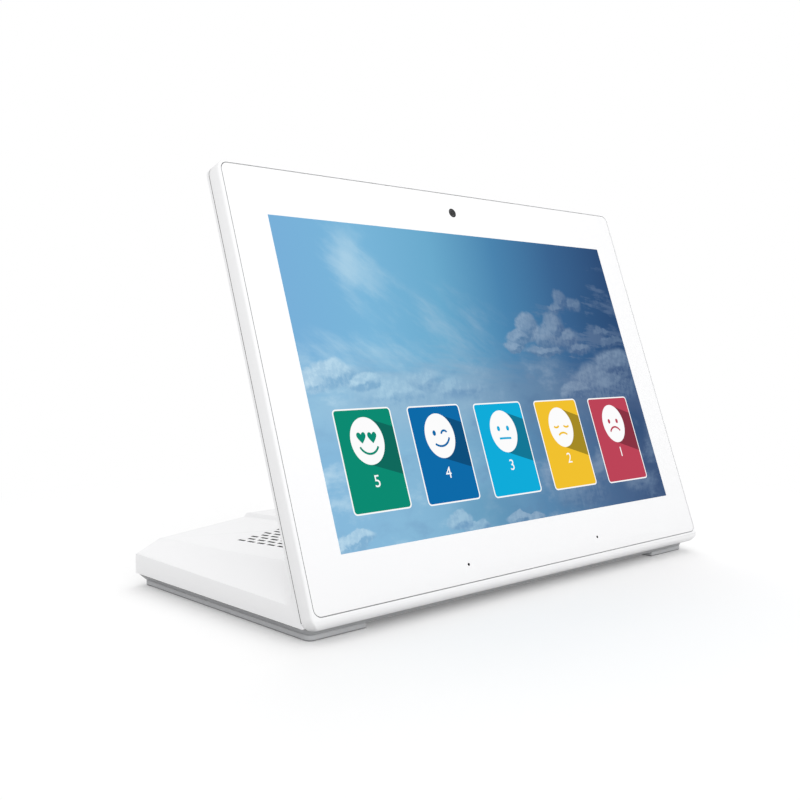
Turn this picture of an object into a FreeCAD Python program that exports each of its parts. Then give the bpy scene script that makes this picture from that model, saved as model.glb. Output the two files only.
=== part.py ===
import FreeCAD, Part
import math
import os

# A 10.1 inch desktop feedback tablet: a thin display head that leans back over a wide, low base.
# Millimetres, +X to the viewer's right, +Y to the back, +Z up. The floor is Z = 0.
# Head pieces are drawn upright, with the glass face on the XZ plane and depth along +Y, and then leaned.

V = FreeCAD.Vector
ALONG_X = V(1, 0, 0)
ALONG_Y = V(0, 1, 0)
ALONG_Z = V(0, 0, 1)

# Glass, picture and head outline
GLASS_W = 251.0
GLASS_H = 178.6
BORDER_SIDE = 16.95         # of the white border round the picture
BORDER_TOP = 20.8
BORDER_BOTTOM = 20.6
GLASS_T = 1.8
GLASS_CORNER = 3.2
GLASS_GAP = 0.25            # all round, between the glass and its frame
LIP = 1.6                   # from the glass's edge to the head's side and top
CHIN = 4.5                  # the same below the glass
HEAD_CORNER = 5.0
FRONT_ROUND = 1.0
CHIN_ROUND = 3.8
FRAME_DEPTH = 6.83
SEAM = 0.25
RIM_DEPTH = 9.15            # where the housing's side ends and its crowned back begins
BACK_DEPTH = 20.0
CROWN = 25.0                # width of the sloped band round the back
LEAN = 19.3                 # degrees back from upright
GLASS_LIFT = 10.6           # height of the glass's bottom edge
CHIN_UNDERSIDE = 4.8
EDGE_ROUND = 2.0            # of the housing's long outer edges

# Base outline
BASE_REAR = 130.0
BASE_CORNER = 1.5
SKIRT_BOTTOM = 5.6
SKIRT_TOP = 14.4            # at the rear
SKIRT_FALL_RATIO = 0.0139         # per mm towards the head
DECK_INSET = 12.1           # from the side to the deck's edge
DECK_EDGE = 19.8            # height of the deck's edge at the rear
DECK_RISE_RATIO = 0.051           # per mm towards the head
DECK_CROWN_RATIO = 0.10           # per mm towards the middle
PANEL_EDGE = 59.6           # of the raised middle, in from the head's side
PANEL_STEP = 1.7
PANEL_SLOPE = 1.5
COVE_SIDE = 5.0             # radius between the skirt and the head's rim
COVE_DECK = 10.0            # radius between the deck and the head's back
WALL = 2.0
FRAME_WALL = 1.6

# Speaker grilles
GRILLE_ROWS = 8
GRILLE_SLOTS = 6
GRILLE_SIDE = 25.9          # outer row, in from the head's side
GRILLE_FORWARD = 44.65      # its rear slot, in from the base's rear
ROW_PITCH = 3.427
SLOT_PITCH = 7.266
SLOT_L = 5.0
SLOT_W = 1.4
ROW_SHIFT = 0.363           # of a pitch, every second row

# Display stack, behind the glass
TAPE_T = 0.5
SENSOR_T = 0.7
SENSOR_MARGIN = 4.0
GASKET_T = 0.3
GASKET_W = 3.0
PANEL_SIDE = 6.15           # from the picture out to the panel's edge
PANEL_TOP = 5.0
PANEL_FOOT = 8.0
PANEL_T = 2.5
LEDGE_T = 1.5
LEDGE_GAP = 1.2             # round the panel and sensor
CHIN_WALL = 3.0
PLATE_T = 1.0
PLATE_GAP = 0.7
PLATE_SCREW_SIDE = 7.1      # in from the head's side
PLATE_SCREW_LOW = 30.0
PLATE_SCREW_TOP = 30.2      # down from the head's top

# Camera and microphones
CAMERA_TOP = 9.7            # down from the glass's top edge
CAMERA_LENS = 3.0           # half width of its lens block
CAMERA_BODY = 8.6
CAMERA_BODY_T = 3.6
MIC_X = 43.9
MIC_UP = 7.3
MIC_HALF = 1.9
MIC_T = 1.1
MIC_HOLE = 0.6              # radius
BOOT_HALF = 4.0
BOOT_T = 3.2
SLIP = 0.05                 # radial clearance of a pin or screw in its hole

# Boards in the head
STANDOFF = 3.0
STANDOFF_R = 3.0
BOARD_T = 1.6
BOARD_W = 120.0
BOARD_H = 78.0
BOARD_TOP = 24.2            # down from the head's top
# The main board's larger parts: x, up, width, height and thickness, with up counted from the board's
# middle for its chips and from its lower edge for its sockets
BOARD_CHIPS = ((0, 0, 15, 15, 1.2), (-38, 16, 13, 13, 2.0), (-38, -4, 12, 9, 1.2), (36, 20, 14, 11, 1.2),
               (36, 2, 14, 11, 1.2))
BOARD_SOCKETS = ((-38, 10, 22, 5, 3.0), (38, 20, 19, 4, 1.8), (8, 8, 8, 8, 3.5))
SHIELD = 34.0
SHIELD_T = 2.2
THERMAL_T = 1.0
SINK_W = 56.0
SINK_H = 46.0
SINK_BASE = 1.6
FIN_H = 2.2
FIN_T = 1.2
FIN_COUNT = 9
ANTENNA_W = 36.0
ANTENNA_H = 9.0
ANTENNA_T = 0.4

# Keys on the head's back
KEY_SIDE = 41.1             # in from the head's side
POWER_TOP = 50.2            # down from the head's top
POWER_PITCH = 18.0          # from the power key down to the upper volume key
VOLUME_PITCH = 14.0
KEY_W = 6.0
KEY_L = 10.0
KEY_CHAMFER = 1.7
KEY_PROUD = 0.8
KEY_GAP = 0.3
KEY_TRAVEL = 0.5
KEY_FLANGE = 1.0
KEY_FLANGE_W = 1.2
KEY_STEM = 2.4
SWITCH = 6.0
SWITCH_T = 3.9
SWITCH_GAP = 0.1            # left between stem and switch when a key is fully pressed
KEY_BOARD_W = 14.0
KEY_BOARD_T = 1.2

# Screws
SHANK_R = 1.5
HEAD_R = 2.7
HEAD_T = 1.8
BOSS_R = 4.6
COUNTERBORE_GAP = 0.3
HOUSING_SCREW_SIDE = 35.1   # in from the head's side
HOUSING_SCREW_TOP = 34.2    # down from the head's top
HOUSING_SCREW_SEAT = 13.0   # depth of the seat under the screw's head
PLUG_T = 2.0
PLUG_HALF = 3.6             # the housing's plugs and screw recesses are square
TUBE_HALF = 5.0

# Base pan and feet
PAN_BOTTOM = 2.4
PAN_T = 2.0
PAN_INSET = 3.5             # of the pan's bottom, in from the head's sides
PAN_REAR_INSET = 2.0        # of the pan's bottom, in from the base's rear
PAN_RIM_INSET = 0.8         # of the pan's flared rim, at the sides and the rear
PAN_FRONT = 6.5
PAN_CORNER = 3.0
PAN_WALL_TOP = 5.0
RING_BOTTOM = 4.6           # the ring stands inside the skirt
RING_TOP = 8.0
RING_W = 3.0
LIP_TOP = 10.0              # of the housing's front cross wall
FOOT_W = 27.8
FRONT_SCREW = (70.1, 40.0)  # in from the head's side, and back
REAR_SCREW = (39.1, 14.0)   # in from the head's side, and forward from the rear
PAN_SCREW_L = 9.0
PAN_SEAT = 1.8              # depth of the screw recess in the pan
VENT_COUNT = 9
VENT_PITCH = 7.0
VENT_W = 2.2
VENT_L = 24.0
VENT_Y = 55.0
BACK_VENT_COUNT = 9
BACK_VENT_L = 22.0
BACK_VENT_TOP = 53.2        # middle of the upper row, down from the head's top
BACK_VENT_ROWS = 28.0       # from the upper row down to the lower one

# Bracket between head and base
BRACKET_W = 56.0
BRACKET_T = 1.5
BRACKET_BEND = 3.0
BRACKET_GAP = 16.0          # from the main board's lower edge down to the bracket
BRACKET_LOW = 12.0
BRACKET_TOE = 14.5
BRACKET_REAR_GAP = 46.0     # in from the base's rear
BRACKET_HOLE_X = 18.0
BRACKET_HOLE_DOWN = 12.0    # from the bracket's upper edge
BRACKET_HOLE_IN = 10.0      # from the bracket's rear edge

# Input and output board, with its sockets along the base's rear wall
IO_HALF = 62.0
IO_DEPTH = 35.4
IO_REAR_GAP = 0.6
IO_LIFT = 2.6
SOCKET_RECESS = 0.5
SOCKET_GAP = 0.4
DC_X = -44.0
LAN_X = -22.0
USB_X = (1.0, 20.0)
MICRO_X = 37.0
AUDIO_X = 51.0
RESET_X = -56.0
LAN_SIZE = (16.0, 21.0, 13.4)
LAN_MOUTH = (11.9, 14.0, 8.2)
USB_SIZE = (14.4, 14.0, 7.0)
USB_MOUTH = (12.5, 10.0, 5.1)
DC_SIZE = (9.0, 14.0, 11.0)
DC_MOUTH_R = 3.2
DC_PIN_R = 1.0
AUDIO_SIZE = (6.6, 12.0, 5.4)
AUDIO_R = 1.8
AUDIO_DEPTH = 13.0
MICRO_SIZE = (7.8, 5.6, 2.9)
MICRO_MOUTH = (6.9, 4.5, 1.9)
RESET_R = 0.9
RESET_LENGTH = 6.4
RESET_TRAVEL = 0.3
RESET_HOLE_R = 1.1
RESET_BLOCK = 4.0
IO_SCREW_X = 54.0
IO_SCREW_FRONT = 5.0        # in from the board's front edge
IO_REST_X = (-54.0, 30.0)
IO_REST_REAR = 8.0          # in from the base's rear
IO_CHIP_X = (-34.0, -14.0, 14.0)
IO_CHIP = 6.0
IO_CHIP_T = 3.0

# Speakers under the deck
SPEAKER_W = 34.0
SPEAKER_L = 46.0
SPEAKER_T = 8.0
MESH_T = 0.2
SPEAKER_GASKET_T = 1.0
SPEAKER_SEAT = 0.05

# Cables inside
RIBBON_T = 0.3
RIBBON_W = 16.0
RIBBON_X = 38.0
RIBBON_BEND = 4.0
RIBBON_LANDING = 18.0       # length of the main ribbon that lies on the main board

# Worked out from the sizes above
HALF = GLASS_W / 2 + LIP
HEAD_TOP = GLASS_H + LIP
PICTURE_W = GLASS_W - 2 * BORDER_SIDE
PICTURE_H = GLASS_H - BORDER_BOTTOM - BORDER_TOP
PANEL_W = PICTURE_W + 2 * PANEL_SIDE
PANEL_H = PANEL_FOOT + PICTURE_H + PANEL_TOP
PANEL_HALF = HALF - PANEL_EDGE
PLATE_SCREWS = ((HALF - PLATE_SCREW_SIDE, PLATE_SCREW_LOW),
                (HALF - PLATE_SCREW_SIDE, HEAD_TOP - PLATE_SCREW_TOP))
CAMERA_UP = GLASS_H - CAMERA_TOP
BOARD_UP = HEAD_TOP - BOARD_TOP - BOARD_H
KEY_X = HALF - KEY_SIDE
POWER_UP = HEAD_TOP - POWER_TOP
VOLUME_UP = POWER_UP - POWER_PITCH
VOLUME_DOWN = VOLUME_UP - VOLUME_PITCH
HOUSING_SCREW_X = HALF - HOUSING_SCREW_SIDE
HOUSING_SCREW_UP = HEAD_TOP - HOUSING_SCREW_TOP
GRILLE_START = HALF - GRILLE_SIDE
PAN_SCREWS = ((HALF - FRONT_SCREW[0], FRONT_SCREW[1]), (HALF - REAR_SCREW[0], BASE_REAR - REAR_SCREW[1]))
BACK_VENT_UP = (HEAD_TOP - BACK_VENT_TOP - BACK_VENT_ROWS, HEAD_TOP - BACK_VENT_TOP)
BRACKET_TOP = BOARD_UP - BRACKET_GAP
BRACKET_HOLE_UP = BRACKET_TOP - BRACKET_HOLE_DOWN
SIN = math.sin(math.radians(LEAN))
COS = math.cos(math.radians(LEAN))
HOUSING_FRONT = FRAME_DEPTH + SEAM
LEDGE_FRONT = GLASS_T + TAPE_T
LEDGE_BACK = LEDGE_FRONT + LEDGE_T
SENSOR_BACK = GLASS_T + SENSOR_T
PANEL_FRONT = SENSOR_BACK + GASKET_T
PLATE_FRONT = PANEL_FRONT + PANEL_T
PLATE_BACK = PLATE_FRONT + PLATE_T
BOARD_FRONT = PLATE_BACK + STANDOFF
BOARD_BACK = BOARD_FRONT + BOARD_T
INNER_BACK = BACK_DEPTH - WALL
PANEL_LOW = BORDER_BOTTOM - PANEL_FOOT
WINDOW_HALF = PANEL_W / 2 + LEDGE_GAP
WINDOW_LOW = PANEL_LOW - LEDGE_GAP
WINDOW_HIGH = PANEL_LOW + PANEL_H + LEDGE_GAP
PAN_HALF = HALF - PAN_INSET
PAN_REAR = BASE_REAR - PAN_REAR_INSET
GRILLE_REAR = BASE_REAR - GRILLE_FORWARD
BRACKET_REAR = BASE_REAR - BRACKET_REAR_GAP
BRACKET_HOLE_Y = BRACKET_REAR - BRACKET_HOLE_IN
RING_HALF = HALF - WALL - GLASS_GAP
PAN_FLOOR = PAN_BOTTOM + PAN_T
IO_BOTTOM = PAN_FLOOR + IO_LIFT
IO_TOP = IO_BOTTOM + BOARD_T
IO_REAR = BASE_REAR - WALL - IO_REAR_GAP
IO_FRONT = IO_REAR - IO_DEPTH
IO_SCREWS = ((-IO_SCREW_X, IO_FRONT + IO_SCREW_FRONT), (IO_SCREW_X, IO_FRONT + IO_SCREW_FRONT))
IO_RESTS = ((IO_REST_X[0], BASE_REAR - IO_REST_REAR), (IO_REST_X[1], BASE_REAR - IO_REST_REAR))
SOCKET_FACE = BASE_REAR - SOCKET_RECESS
CHIN_FLAT = CHIN - CHIN_ROUND
BAND_SLOPE = (BACK_DEPTH - RIM_DEPTH) / CROWN
FRONT_MOST = CHIN_ROUND * (COS - 1) - CHIN_FLAT * SIN
FOOTPRINT_MIDDLE = (BASE_REAR + FRONT_MOST) / 2


# Shapes and places

def block(x0, x1, y0, y1, z0, z1):
    """A box between two corners."""
    return Part.makeBox(x1 - x0, y1 - y0, z1 - z0, V(x0, y0, z0))


def rod(radius, start, end):
    """A cylinder from one point to another."""
    return Part.makeCylinder(radius, (end - start).Length, start, end - start)


def peg(radius, start, end):
    """A six-sided bar from one point to another: a standoff, a post, or the plain form of a hidden screw."""
    along = end - start
    up = V(along).normalize().cross(ALONG_X)
    turns = [math.radians(60 * index) for index in range(7)]
    corners = [start + ALONG_X * radius * math.cos(turn) + up * radius * math.sin(turn) for turn in turns]
    return Part.Face(Part.makePolygon(corners)).extrude(along)


def rounded(shape, radius, along):
    """The shape with its edges along one direction rounded."""
    edges = [e for e in shape.Edges if abs(e.tangentAt(e.FirstParameter).dot(along)) > 0.999]
    return shape.makeFillet(radius, edges)


def upright(half, low, high, front, back, corner=0.0):
    """A head plate, centred in X, with its outline in X and Z and its depth along Y."""
    plate = block(-half, half, front, back, low, high)
    if corner:
        plate = rounded(plate, corner, ALONG_Y)
    return plate


def pin(radius, x, up, front, back, form=rod):
    """A round pin of the upright head, along its depth, or one of another form."""
    return form(radius, V(x, front, up), V(x, back, up))


def key_bar(up, grow, front, back):
    """A bar with cut corners: a key's outline, or that of its hole when it grows by the gap."""
    wide = KEY_W / 2 + grow
    long = KEY_L / 2 + grow
    cut = KEY_CHAMFER + grow * (2 - math.sqrt(2))
    quarter = [(wide, long - cut), (wide - cut, long)]
    half = quarter + [(-x, y) for x, y in quarter[::-1]]
    corners = half + [(-x, -y) for x, y in half]
    points = [V(KEY_X + x, front, up + y) for x, y in corners + corners[:1]]
    return Part.Face(Part.makePolygon(points)).extrude(V(0, back - front, 0))


def square(x, up, half, front, back):
    """A square block of the upright head."""
    return block(x - half, x + half, front, back, up - half, up + half)


def mirrored(shape):
    """The same shape on the other side of the middle."""
    return shape.mirror(V(0, 0, 0), ALONG_X)


def lean(shape):
    """Takes an upright head piece to its place in the leaning head."""
    placed = shape.copy()
    placed.rotate(V(0, 0, 0), ALONG_X, -LEAN)
    placed.translate(V(0, 0, GLASS_LIFT))
    return placed


def head_point(x, up, depth):
    """Where a point of the upright head lies once the head leans back."""
    return V(x, up * SIN + depth * COS, GLASS_LIFT + up * COS - depth * SIN)


def up_at_height(height, depth):
    """How far up the head a plane at this depth is this high above the floor."""
    return (height - GLASS_LIFT + depth * SIN) / COS


def corner_waste(radius, length):
    """What a quarter round takes off a corner: its arc is centred on the Z axis."""
    square = block(0, radius + 1, 0, radius + 1, 0, length)
    return square.cut(Part.makeCylinder(radius, length))


def bend(before, corner, after, radius):
    """The tangent arc that rounds a corner of a path: its start, middle and end."""
    toward = (before - corner).normalize()
    away = (after - corner).normalize()
    half_angle = toward.getAngle(away) / 2
    bisector = (toward + away).normalize()
    reach = radius / math.tan(half_angle)
    middle = corner + bisector * (radius / math.sin(half_angle) - radius)
    return corner + toward * reach, middle, corner + away * reach


def chain(points, radii):
    """Straight runs through the points, with each inner corner rounded by its radius, or sharp at 0."""
    edges = []
    start = points[0]
    for before, corner, after, radius in zip(points, points[1:], points[2:], radii):
        if radius:
            arc = bend(before, corner, after, radius)
            edges.append(Part.LineSegment(start, arc[0]).toShape())
            edges.append(Part.Arc(*arc).toShape())
            start = arc[2]
        else:
            edges.append(Part.LineSegment(start, corner).toShape())
            start = corner
    edges.append(Part.LineSegment(start, points[-1]).toShape())
    return edges


def strip(points, radius, thickness, width):
    """A flat strip bent along points in the YZ plane, centred on the plane X = 0."""
    sides = []
    for side in (-1, 1):
        normals = [V(0, b.z - a.z, a.y - b.y).normalize() * side * thickness / 2
                   for a, b in zip(points, points[1:])]
        offset = [points[0] + normals[0]]
        for corner, first, second in zip(points[1:], normals, normals[1:]):
            share = 1 / (1 + first.dot(second) / (thickness / 2) ** 2)
            offset.append(corner + (first + second) * share)
        offset.append(points[-1] + normals[-1])
        radii = []
        for a, corner, b in zip(points, points[1:], points[2:]):
            turn = (corner - a).cross(b - corner).x
            radii.append(radius + (thickness / 2 if turn * side < 0 else -thickness / 2))
        sides.append(chain(offset, radii))
    first_end = sides[0][-1].Vertexes[-1].Point
    second_end = sides[1][-1].Vertexes[-1].Point
    caps = [Part.LineSegment(first_end, second_end).toShape(),
            Part.LineSegment(sides[0][0].Vertexes[0].Point, sides[1][0].Vertexes[0].Point).toShape()]
    outline = Part.Wire(Part.__sortEdges__(sides[0] + sides[1] + caps))
    flat = Part.Face(outline)
    flat.translate(V(-width / 2, 0, 0))
    return flat.extrude(V(width, 0, 0))


def screw(seat, direction, length):
    """A screw: the underside of its head at seat, its shank along direction."""
    shank = peg(SHANK_R, seat, seat + direction * length)
    return shank.fuse(peg(HEAD_R, seat, seat - direction * HEAD_T))


# Head

def front_frame():
    """The moulded frame that holds the glass in front and the display's mid plate behind."""
    frame = upright(HALF, -CHIN, HEAD_TOP, 0, FRAME_DEPTH, HEAD_CORNER)
    front_edges = [e for e in frame.Edges if e.BoundBox.YMax < 1e-3]
    frame = frame.makeFillet(FRONT_ROUND, front_edges)
    chin = corner_waste(CHIN_ROUND, 2 * HALF)
    chin.Placement = FreeCAD.Placement(
        V(-HALF, CHIN_ROUND, CHIN_ROUND - CHIN), FreeCAD.Rotation(-ALONG_Y, -ALONG_Z, ALONG_X, "ZXY"))
    pocket = upright(GLASS_W / 2 + GLASS_GAP, -GLASS_GAP, GLASS_H + GLASS_GAP,
                     -1, LEDGE_FRONT, GLASS_CORNER + GLASS_GAP)
    window = upright(WINDOW_HALF, WINDOW_LOW, WINDOW_HIGH, 0, FRAME_DEPTH)
    hollow = upright(HALF - FRAME_WALL, CHIN_WALL - CHIN, HEAD_TOP - FRAME_WALL,
                     LEDGE_BACK, FRAME_DEPTH + 1)
    frame = frame.cut([chin, pocket, window, hollow])
    places = [(side * x, up) for x, up in PLATE_SCREWS for side in (-1, 1)]
    frame = frame.fuse([pin(STANDOFF_R, x, up, LEDGE_FRONT, PLATE_FRONT, peg) for x, up in places])
    holes = [pin(SHANK_R + SLIP, x, up, LEDGE_FRONT - 1, PLATE_BACK, peg) for x, up in places]
    holes.append(square(0, CAMERA_UP, CAMERA_LENS + SLIP, 0, LEDGE_BACK + 1))
    holes += [square(side * MIC_X, MIC_UP, MIC_HOLE * 2, 0, LEDGE_BACK + 1) for side in (-1, 1)]
    placed = lean(frame.cut(holes))
    return placed.cut(block(-HALF, HALF, FRONT_MOST, HOUSING_FRONT, 0, CHIN_UNDERSIDE))


def cover_glass():
    """The white-bordered glass, with a sound hole for each microphone."""
    glass = upright(GLASS_W / 2, 0, GLASS_H, 0, GLASS_T, GLASS_CORNER)
    holes = [pin(MIC_HOLE, side * MIC_X, MIC_UP, -1, GLASS_T + 1, peg) for side in (-1, 1)]
    return lean(glass.cut(holes))


def glass_tape():
    """The adhesive ring between the glass and the frame's ledge."""
    tape = upright(GLASS_W / 2 - 1, 1, GLASS_H - 1, GLASS_T, LEDGE_FRONT)
    holes = [upright(WINDOW_HALF, WINDOW_LOW, WINDOW_HIGH, 0, LEDGE_BACK)]
    holes.append(square(0, CAMERA_UP, CAMERA_BODY / 2, 0, LEDGE_BACK))
    holes += [square(side * MIC_X, MIC_UP, MIC_HOLE * 2, 0, LEDGE_BACK) for side in (-1, 1)]
    return lean(tape.cut(holes))


def touch_sensor():
    """The touch layer laminated to the glass behind the picture."""
    return lean(upright(PICTURE_W / 2 + SENSOR_MARGIN, BORDER_BOTTOM - SENSOR_MARGIN,
                        BORDER_BOTTOM + PICTURE_H + SENSOR_MARGIN, GLASS_T, SENSOR_BACK))


def display_gasket():
    """The foam ring between the touch layer and the display panel."""
    half = PICTURE_W / 2 + SENSOR_MARGIN
    low = BORDER_BOTTOM - SENSOR_MARGIN
    high = BORDER_BOTTOM + PICTURE_H + SENSOR_MARGIN
    ring = upright(half, low, high, SENSOR_BACK, PANEL_FRONT)
    inside = upright(half - GASKET_W, low + GASKET_W, high - GASKET_W, SENSOR_BACK, PANEL_FRONT)
    return lean(ring.cut(inside))


def display_panel():
    """The display module, a glass sandwich in a metal tray."""
    return lean(upright(PANEL_W / 2, PANEL_LOW, PANEL_LOW + PANEL_H, PANEL_FRONT, PLATE_FRONT))


def standoff_places():
    """Where the mid plate carries posts: under the board's screws, the key board and the housing's screws."""
    board = [(side * (BOARD_W / 2 - BOSS_R), BOARD_UP + up)
             for side in (-1, 1) for up in (BOSS_R, BOARD_H - BOSS_R)]
    keys = [(KEY_X, VOLUME_DOWN - SWITCH), (KEY_X, POWER_UP + SWITCH)]
    housing = [(side * HOUSING_SCREW_X, HOUSING_SCREW_UP) for side in (-1, 1)]
    return board, keys, housing


def mid_plate():
    """The stamped plate behind the display. It stiffens the head and carries the boards."""
    plate = upright(HALF - FRAME_WALL - PLATE_GAP, CHIN_WALL - CHIN + PLATE_GAP,
                    HEAD_TOP - FRAME_WALL - PLATE_GAP, PLATE_FRONT, PLATE_BACK)
    board, keys, housing = standoff_places()
    posts = [pin(STANDOFF_R, x, up, PLATE_FRONT, BOARD_FRONT, peg) for x, up in board + keys + housing]
    posts += [pin(SHANK_R, x, up, BOARD_FRONT, BOARD_FRONT + KEY_BOARD_T, peg) for x, up in keys]
    places = board + housing
    places += [(side * x, up) for x, up in PLATE_SCREWS for side in (-1, 1)]
    places += [(side * BRACKET_HOLE_X, BRACKET_HOLE_UP) for side in (-1, 1)]
    holes = [pin(SHANK_R + SLIP, x, up, 0, BOARD_BACK, peg) for x, up in places]
    holes.append(square(0, CAMERA_UP, CAMERA_BODY / 2 + PLATE_GAP, 0, BOARD_BACK))
    holes += [square(side * MIC_X, MIC_UP, BOOT_HALF + PLATE_GAP, 0, BOARD_BACK) for side in (-1, 1)]
    slot = upright(RIBBON_W / 2 + 1, PANEL_LOW + 1, PANEL_LOW + 1 + 2 * PLATE_GAP, 0, BOARD_BACK)
    slot.translate(V(-RIBBON_X, 0, 0))
    return lean(plate.fuse(posts).cut(holes + [slot]))


def mid_plate_screws():
    """Four screws from the mid plate into the front frame."""
    length = PLATE_BACK - LEDGE_FRONT - TAPE_T
    screws = [screw(V(side * x, PLATE_BACK, up), -ALONG_Y, length)
              for x, up in PLATE_SCREWS for side in (-1, 1)]
    return lean(Part.makeCompound(screws))


def camera_module():
    """The camera: a square body behind the ledge and a lens block that looks through it."""
    half = CAMERA_BODY / 2
    body = upright(half, CAMERA_UP - half, CAMERA_UP + half, LEDGE_BACK, LEDGE_BACK + CAMERA_BODY_T)
    lens = square(0, CAMERA_UP, CAMERA_LENS, LEDGE_FRONT, LEDGE_BACK)
    return lean(body.fuse(lens))


def camera_gasket():
    """The foam ring that seals the camera to the glass."""
    ring = square(0, CAMERA_UP, CAMERA_BODY / 2 - PLATE_GAP / 2, GLASS_T, LEDGE_FRONT)
    return lean(ring.cut(square(0, CAMERA_UP, CAMERA_LENS - PLATE_GAP, 0, LEDGE_BACK)))


def camera_cable():
    """The flat cable from the camera down to the main board."""
    near = LEDGE_BACK + CAMERA_BODY_T + RIBBON_T / 2
    far = BOARD_BACK + RIBBON_T / 2
    top = BOARD_UP + BOARD_H
    path = [V(0, near, CAMERA_UP + CAMERA_BODY / 2), V(0, near, top + 6), V(0, far, top + 2),
            V(0, far, top - 6)]
    return lean(strip(path, 1.5, RIBBON_T, CAMERA_BODY - 2))


def microphone(side):
    """A microphone chip in its can."""
    back = LEDGE_BACK + BOOT_T
    return lean(square(side * MIC_X, MIC_UP, MIC_HALF, back - MIC_T, back))


def mic_boot(side):
    """The rubber boot that holds a microphone behind its sound hole."""
    back = LEDGE_BACK + BOOT_T
    x = side * MIC_X
    boot = square(x, MIC_UP, BOOT_HALF, LEDGE_BACK, back)
    return lean(boot.cut([square(x, MIC_UP, MIC_HALF, back - MIC_T, back + 1),
                          square(x, MIC_UP, MIC_HOLE, 0, back)]))


def main_board():
    """The main board with its larger parts."""
    board = upright(BOARD_W / 2, BOARD_UP, BOARD_UP + BOARD_H, BOARD_FRONT, BOARD_BACK)
    chips = []
    for parts, level in ((BOARD_CHIPS, BOARD_UP + BOARD_H / 2), (BOARD_SOCKETS, BOARD_UP)):
        for x, up, width, height, thickness in parts:
            low = level + up - height / 2
            chips.append(block(x - width / 2, x + width / 2, BOARD_BACK, BOARD_BACK + thickness,
                               low, low + height))
    corners = standoff_places()[0]
    holes = [pin(SHANK_R + SLIP, x, up, 0, BACK_DEPTH, peg) for x, up in corners]
    return lean(board.fuse(chips).cut(holes))


def main_board_screws():
    """Four screws from the main board into the standoffs."""
    screws = [screw(V(x, BOARD_BACK, up), -ALONG_Y, STANDOFF + BOARD_T)
              for x, up in standoff_places()[0]]
    return lean(Part.makeCompound(screws))


def shield_can():
    """The pressed shield over the processor."""
    middle = BOARD_UP + BOARD_H / 2
    half = SHIELD / 2
    back = BOARD_BACK + SHIELD_T
    can = upright(half, middle - half, middle + half, BOARD_BACK, back)
    inside = upright(half - 0.5, middle - half + 0.5, middle + half - 0.5, BOARD_BACK, back - 0.5)
    return lean(can.cut(inside))


def thermal_pad():
    """The soft pad between shield and heat sink."""
    middle = BOARD_UP + BOARD_H / 2
    half = SHIELD / 3
    front = BOARD_BACK + SHIELD_T
    return lean(upright(half, middle - half, middle + half, front, front + THERMAL_T))


def heat_sink():
    """The finned heat sink behind the processor."""
    middle = BOARD_UP + BOARD_H / 2
    front = BOARD_BACK + SHIELD_T + THERMAL_T
    low = middle - SINK_H / 2
    high = middle + SINK_H / 2
    sink = upright(SINK_W / 2, low, high, front, front + SINK_BASE)
    pitch = (SINK_W - FIN_T) / (FIN_COUNT - 1)
    fins = []
    for index in range(FIN_COUNT):
        x = index * pitch - SINK_W / 2
        fins.append(block(x, x + FIN_T, front, front + SINK_BASE + FIN_H, low, high))
    return lean(sink.fuse(fins).removeSplitter())


def antenna(side):
    """A flat wireless antenna stuck inside the head's back."""
    x = side * (KEY_X - ANTENNA_W / 2 - 2)
    up = HOUSING_SCREW_UP + BOSS_R
    plate = block(x - ANTENNA_W / 2, x + ANTENNA_W / 2, INNER_BACK - ANTENNA_T, INNER_BACK,
                  up - ANTENNA_H, up)
    return lean(plate)


def key_board():
    """The small board with one push switch behind each key, staked on two posts."""
    low = VOLUME_DOWN - SWITCH - BOSS_R
    high = POWER_UP + SWITCH + BOSS_R
    back = BOARD_FRONT + KEY_BOARD_T
    half = KEY_BOARD_W / 2
    board = block(KEY_X - half, KEY_X + half, BOARD_FRONT, back, low, high)
    switches = []
    for up in (POWER_UP, VOLUME_UP, VOLUME_DOWN):
        switches.append(square(KEY_X, up, SWITCH / 2, back, back + SWITCH_T - 0.6))
        switches.append(square(KEY_X, up, KEY_STEM / 2, back, back + SWITCH_T))
    holes = [pin(SHANK_R + SLIP, x, up, 0, BACK_DEPTH, peg) for x, up in standoff_places()[1]]
    return lean(board.fuse(switches).cut(holes))


def key(up):
    """A sprung key: a cap in the back wall, a flange behind the wall and a stem to the switch."""
    cap = key_bar(up, 0, INNER_BACK - KEY_FLANGE, BACK_DEPTH + KEY_PROUD)
    reach_x = KEY_W / 2 + KEY_FLANGE_W
    reach_up = KEY_L / 2 + KEY_FLANGE_W
    flange = block(KEY_X - reach_x, KEY_X + reach_x, INNER_BACK - KEY_FLANGE, INNER_BACK,
                   up - reach_up, up + reach_up)
    switch_top = BOARD_FRONT + KEY_BOARD_T + SWITCH_T
    stem = square(KEY_X, up, KEY_STEM / 2, switch_top + KEY_TRAVEL + SWITCH_GAP, INNER_BACK)
    return lean(cap.fuse([flange, stem]))


def display_ribbon():
    """The flat cable from the display, through the mid plate, up to the main board."""
    near = PLATE_BACK + RIBBON_T / 2
    far = BOARD_BACK + RIBBON_T / 2
    path = [V(0, near, PANEL_LOW + 4), V(0, near, BOARD_UP - 14), V(0, far, BOARD_UP - 4),
            V(0, far, BOARD_UP + 6)]
    ribbon = strip(path, RIBBON_BEND, RIBBON_T, RIBBON_W)
    ribbon.translate(V(-RIBBON_X, 0, 0))
    return lean(ribbon)


# Rear housing: the head's back, the deck and the skirt are one moulding

def back_depth(x):
    """Depth of the crowned back at a distance x from the middle."""
    share = min((HALF - abs(x)) / CROWN, 1)
    return RIM_DEPTH + (BACK_DEPTH - RIM_DEPTH) * share


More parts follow.
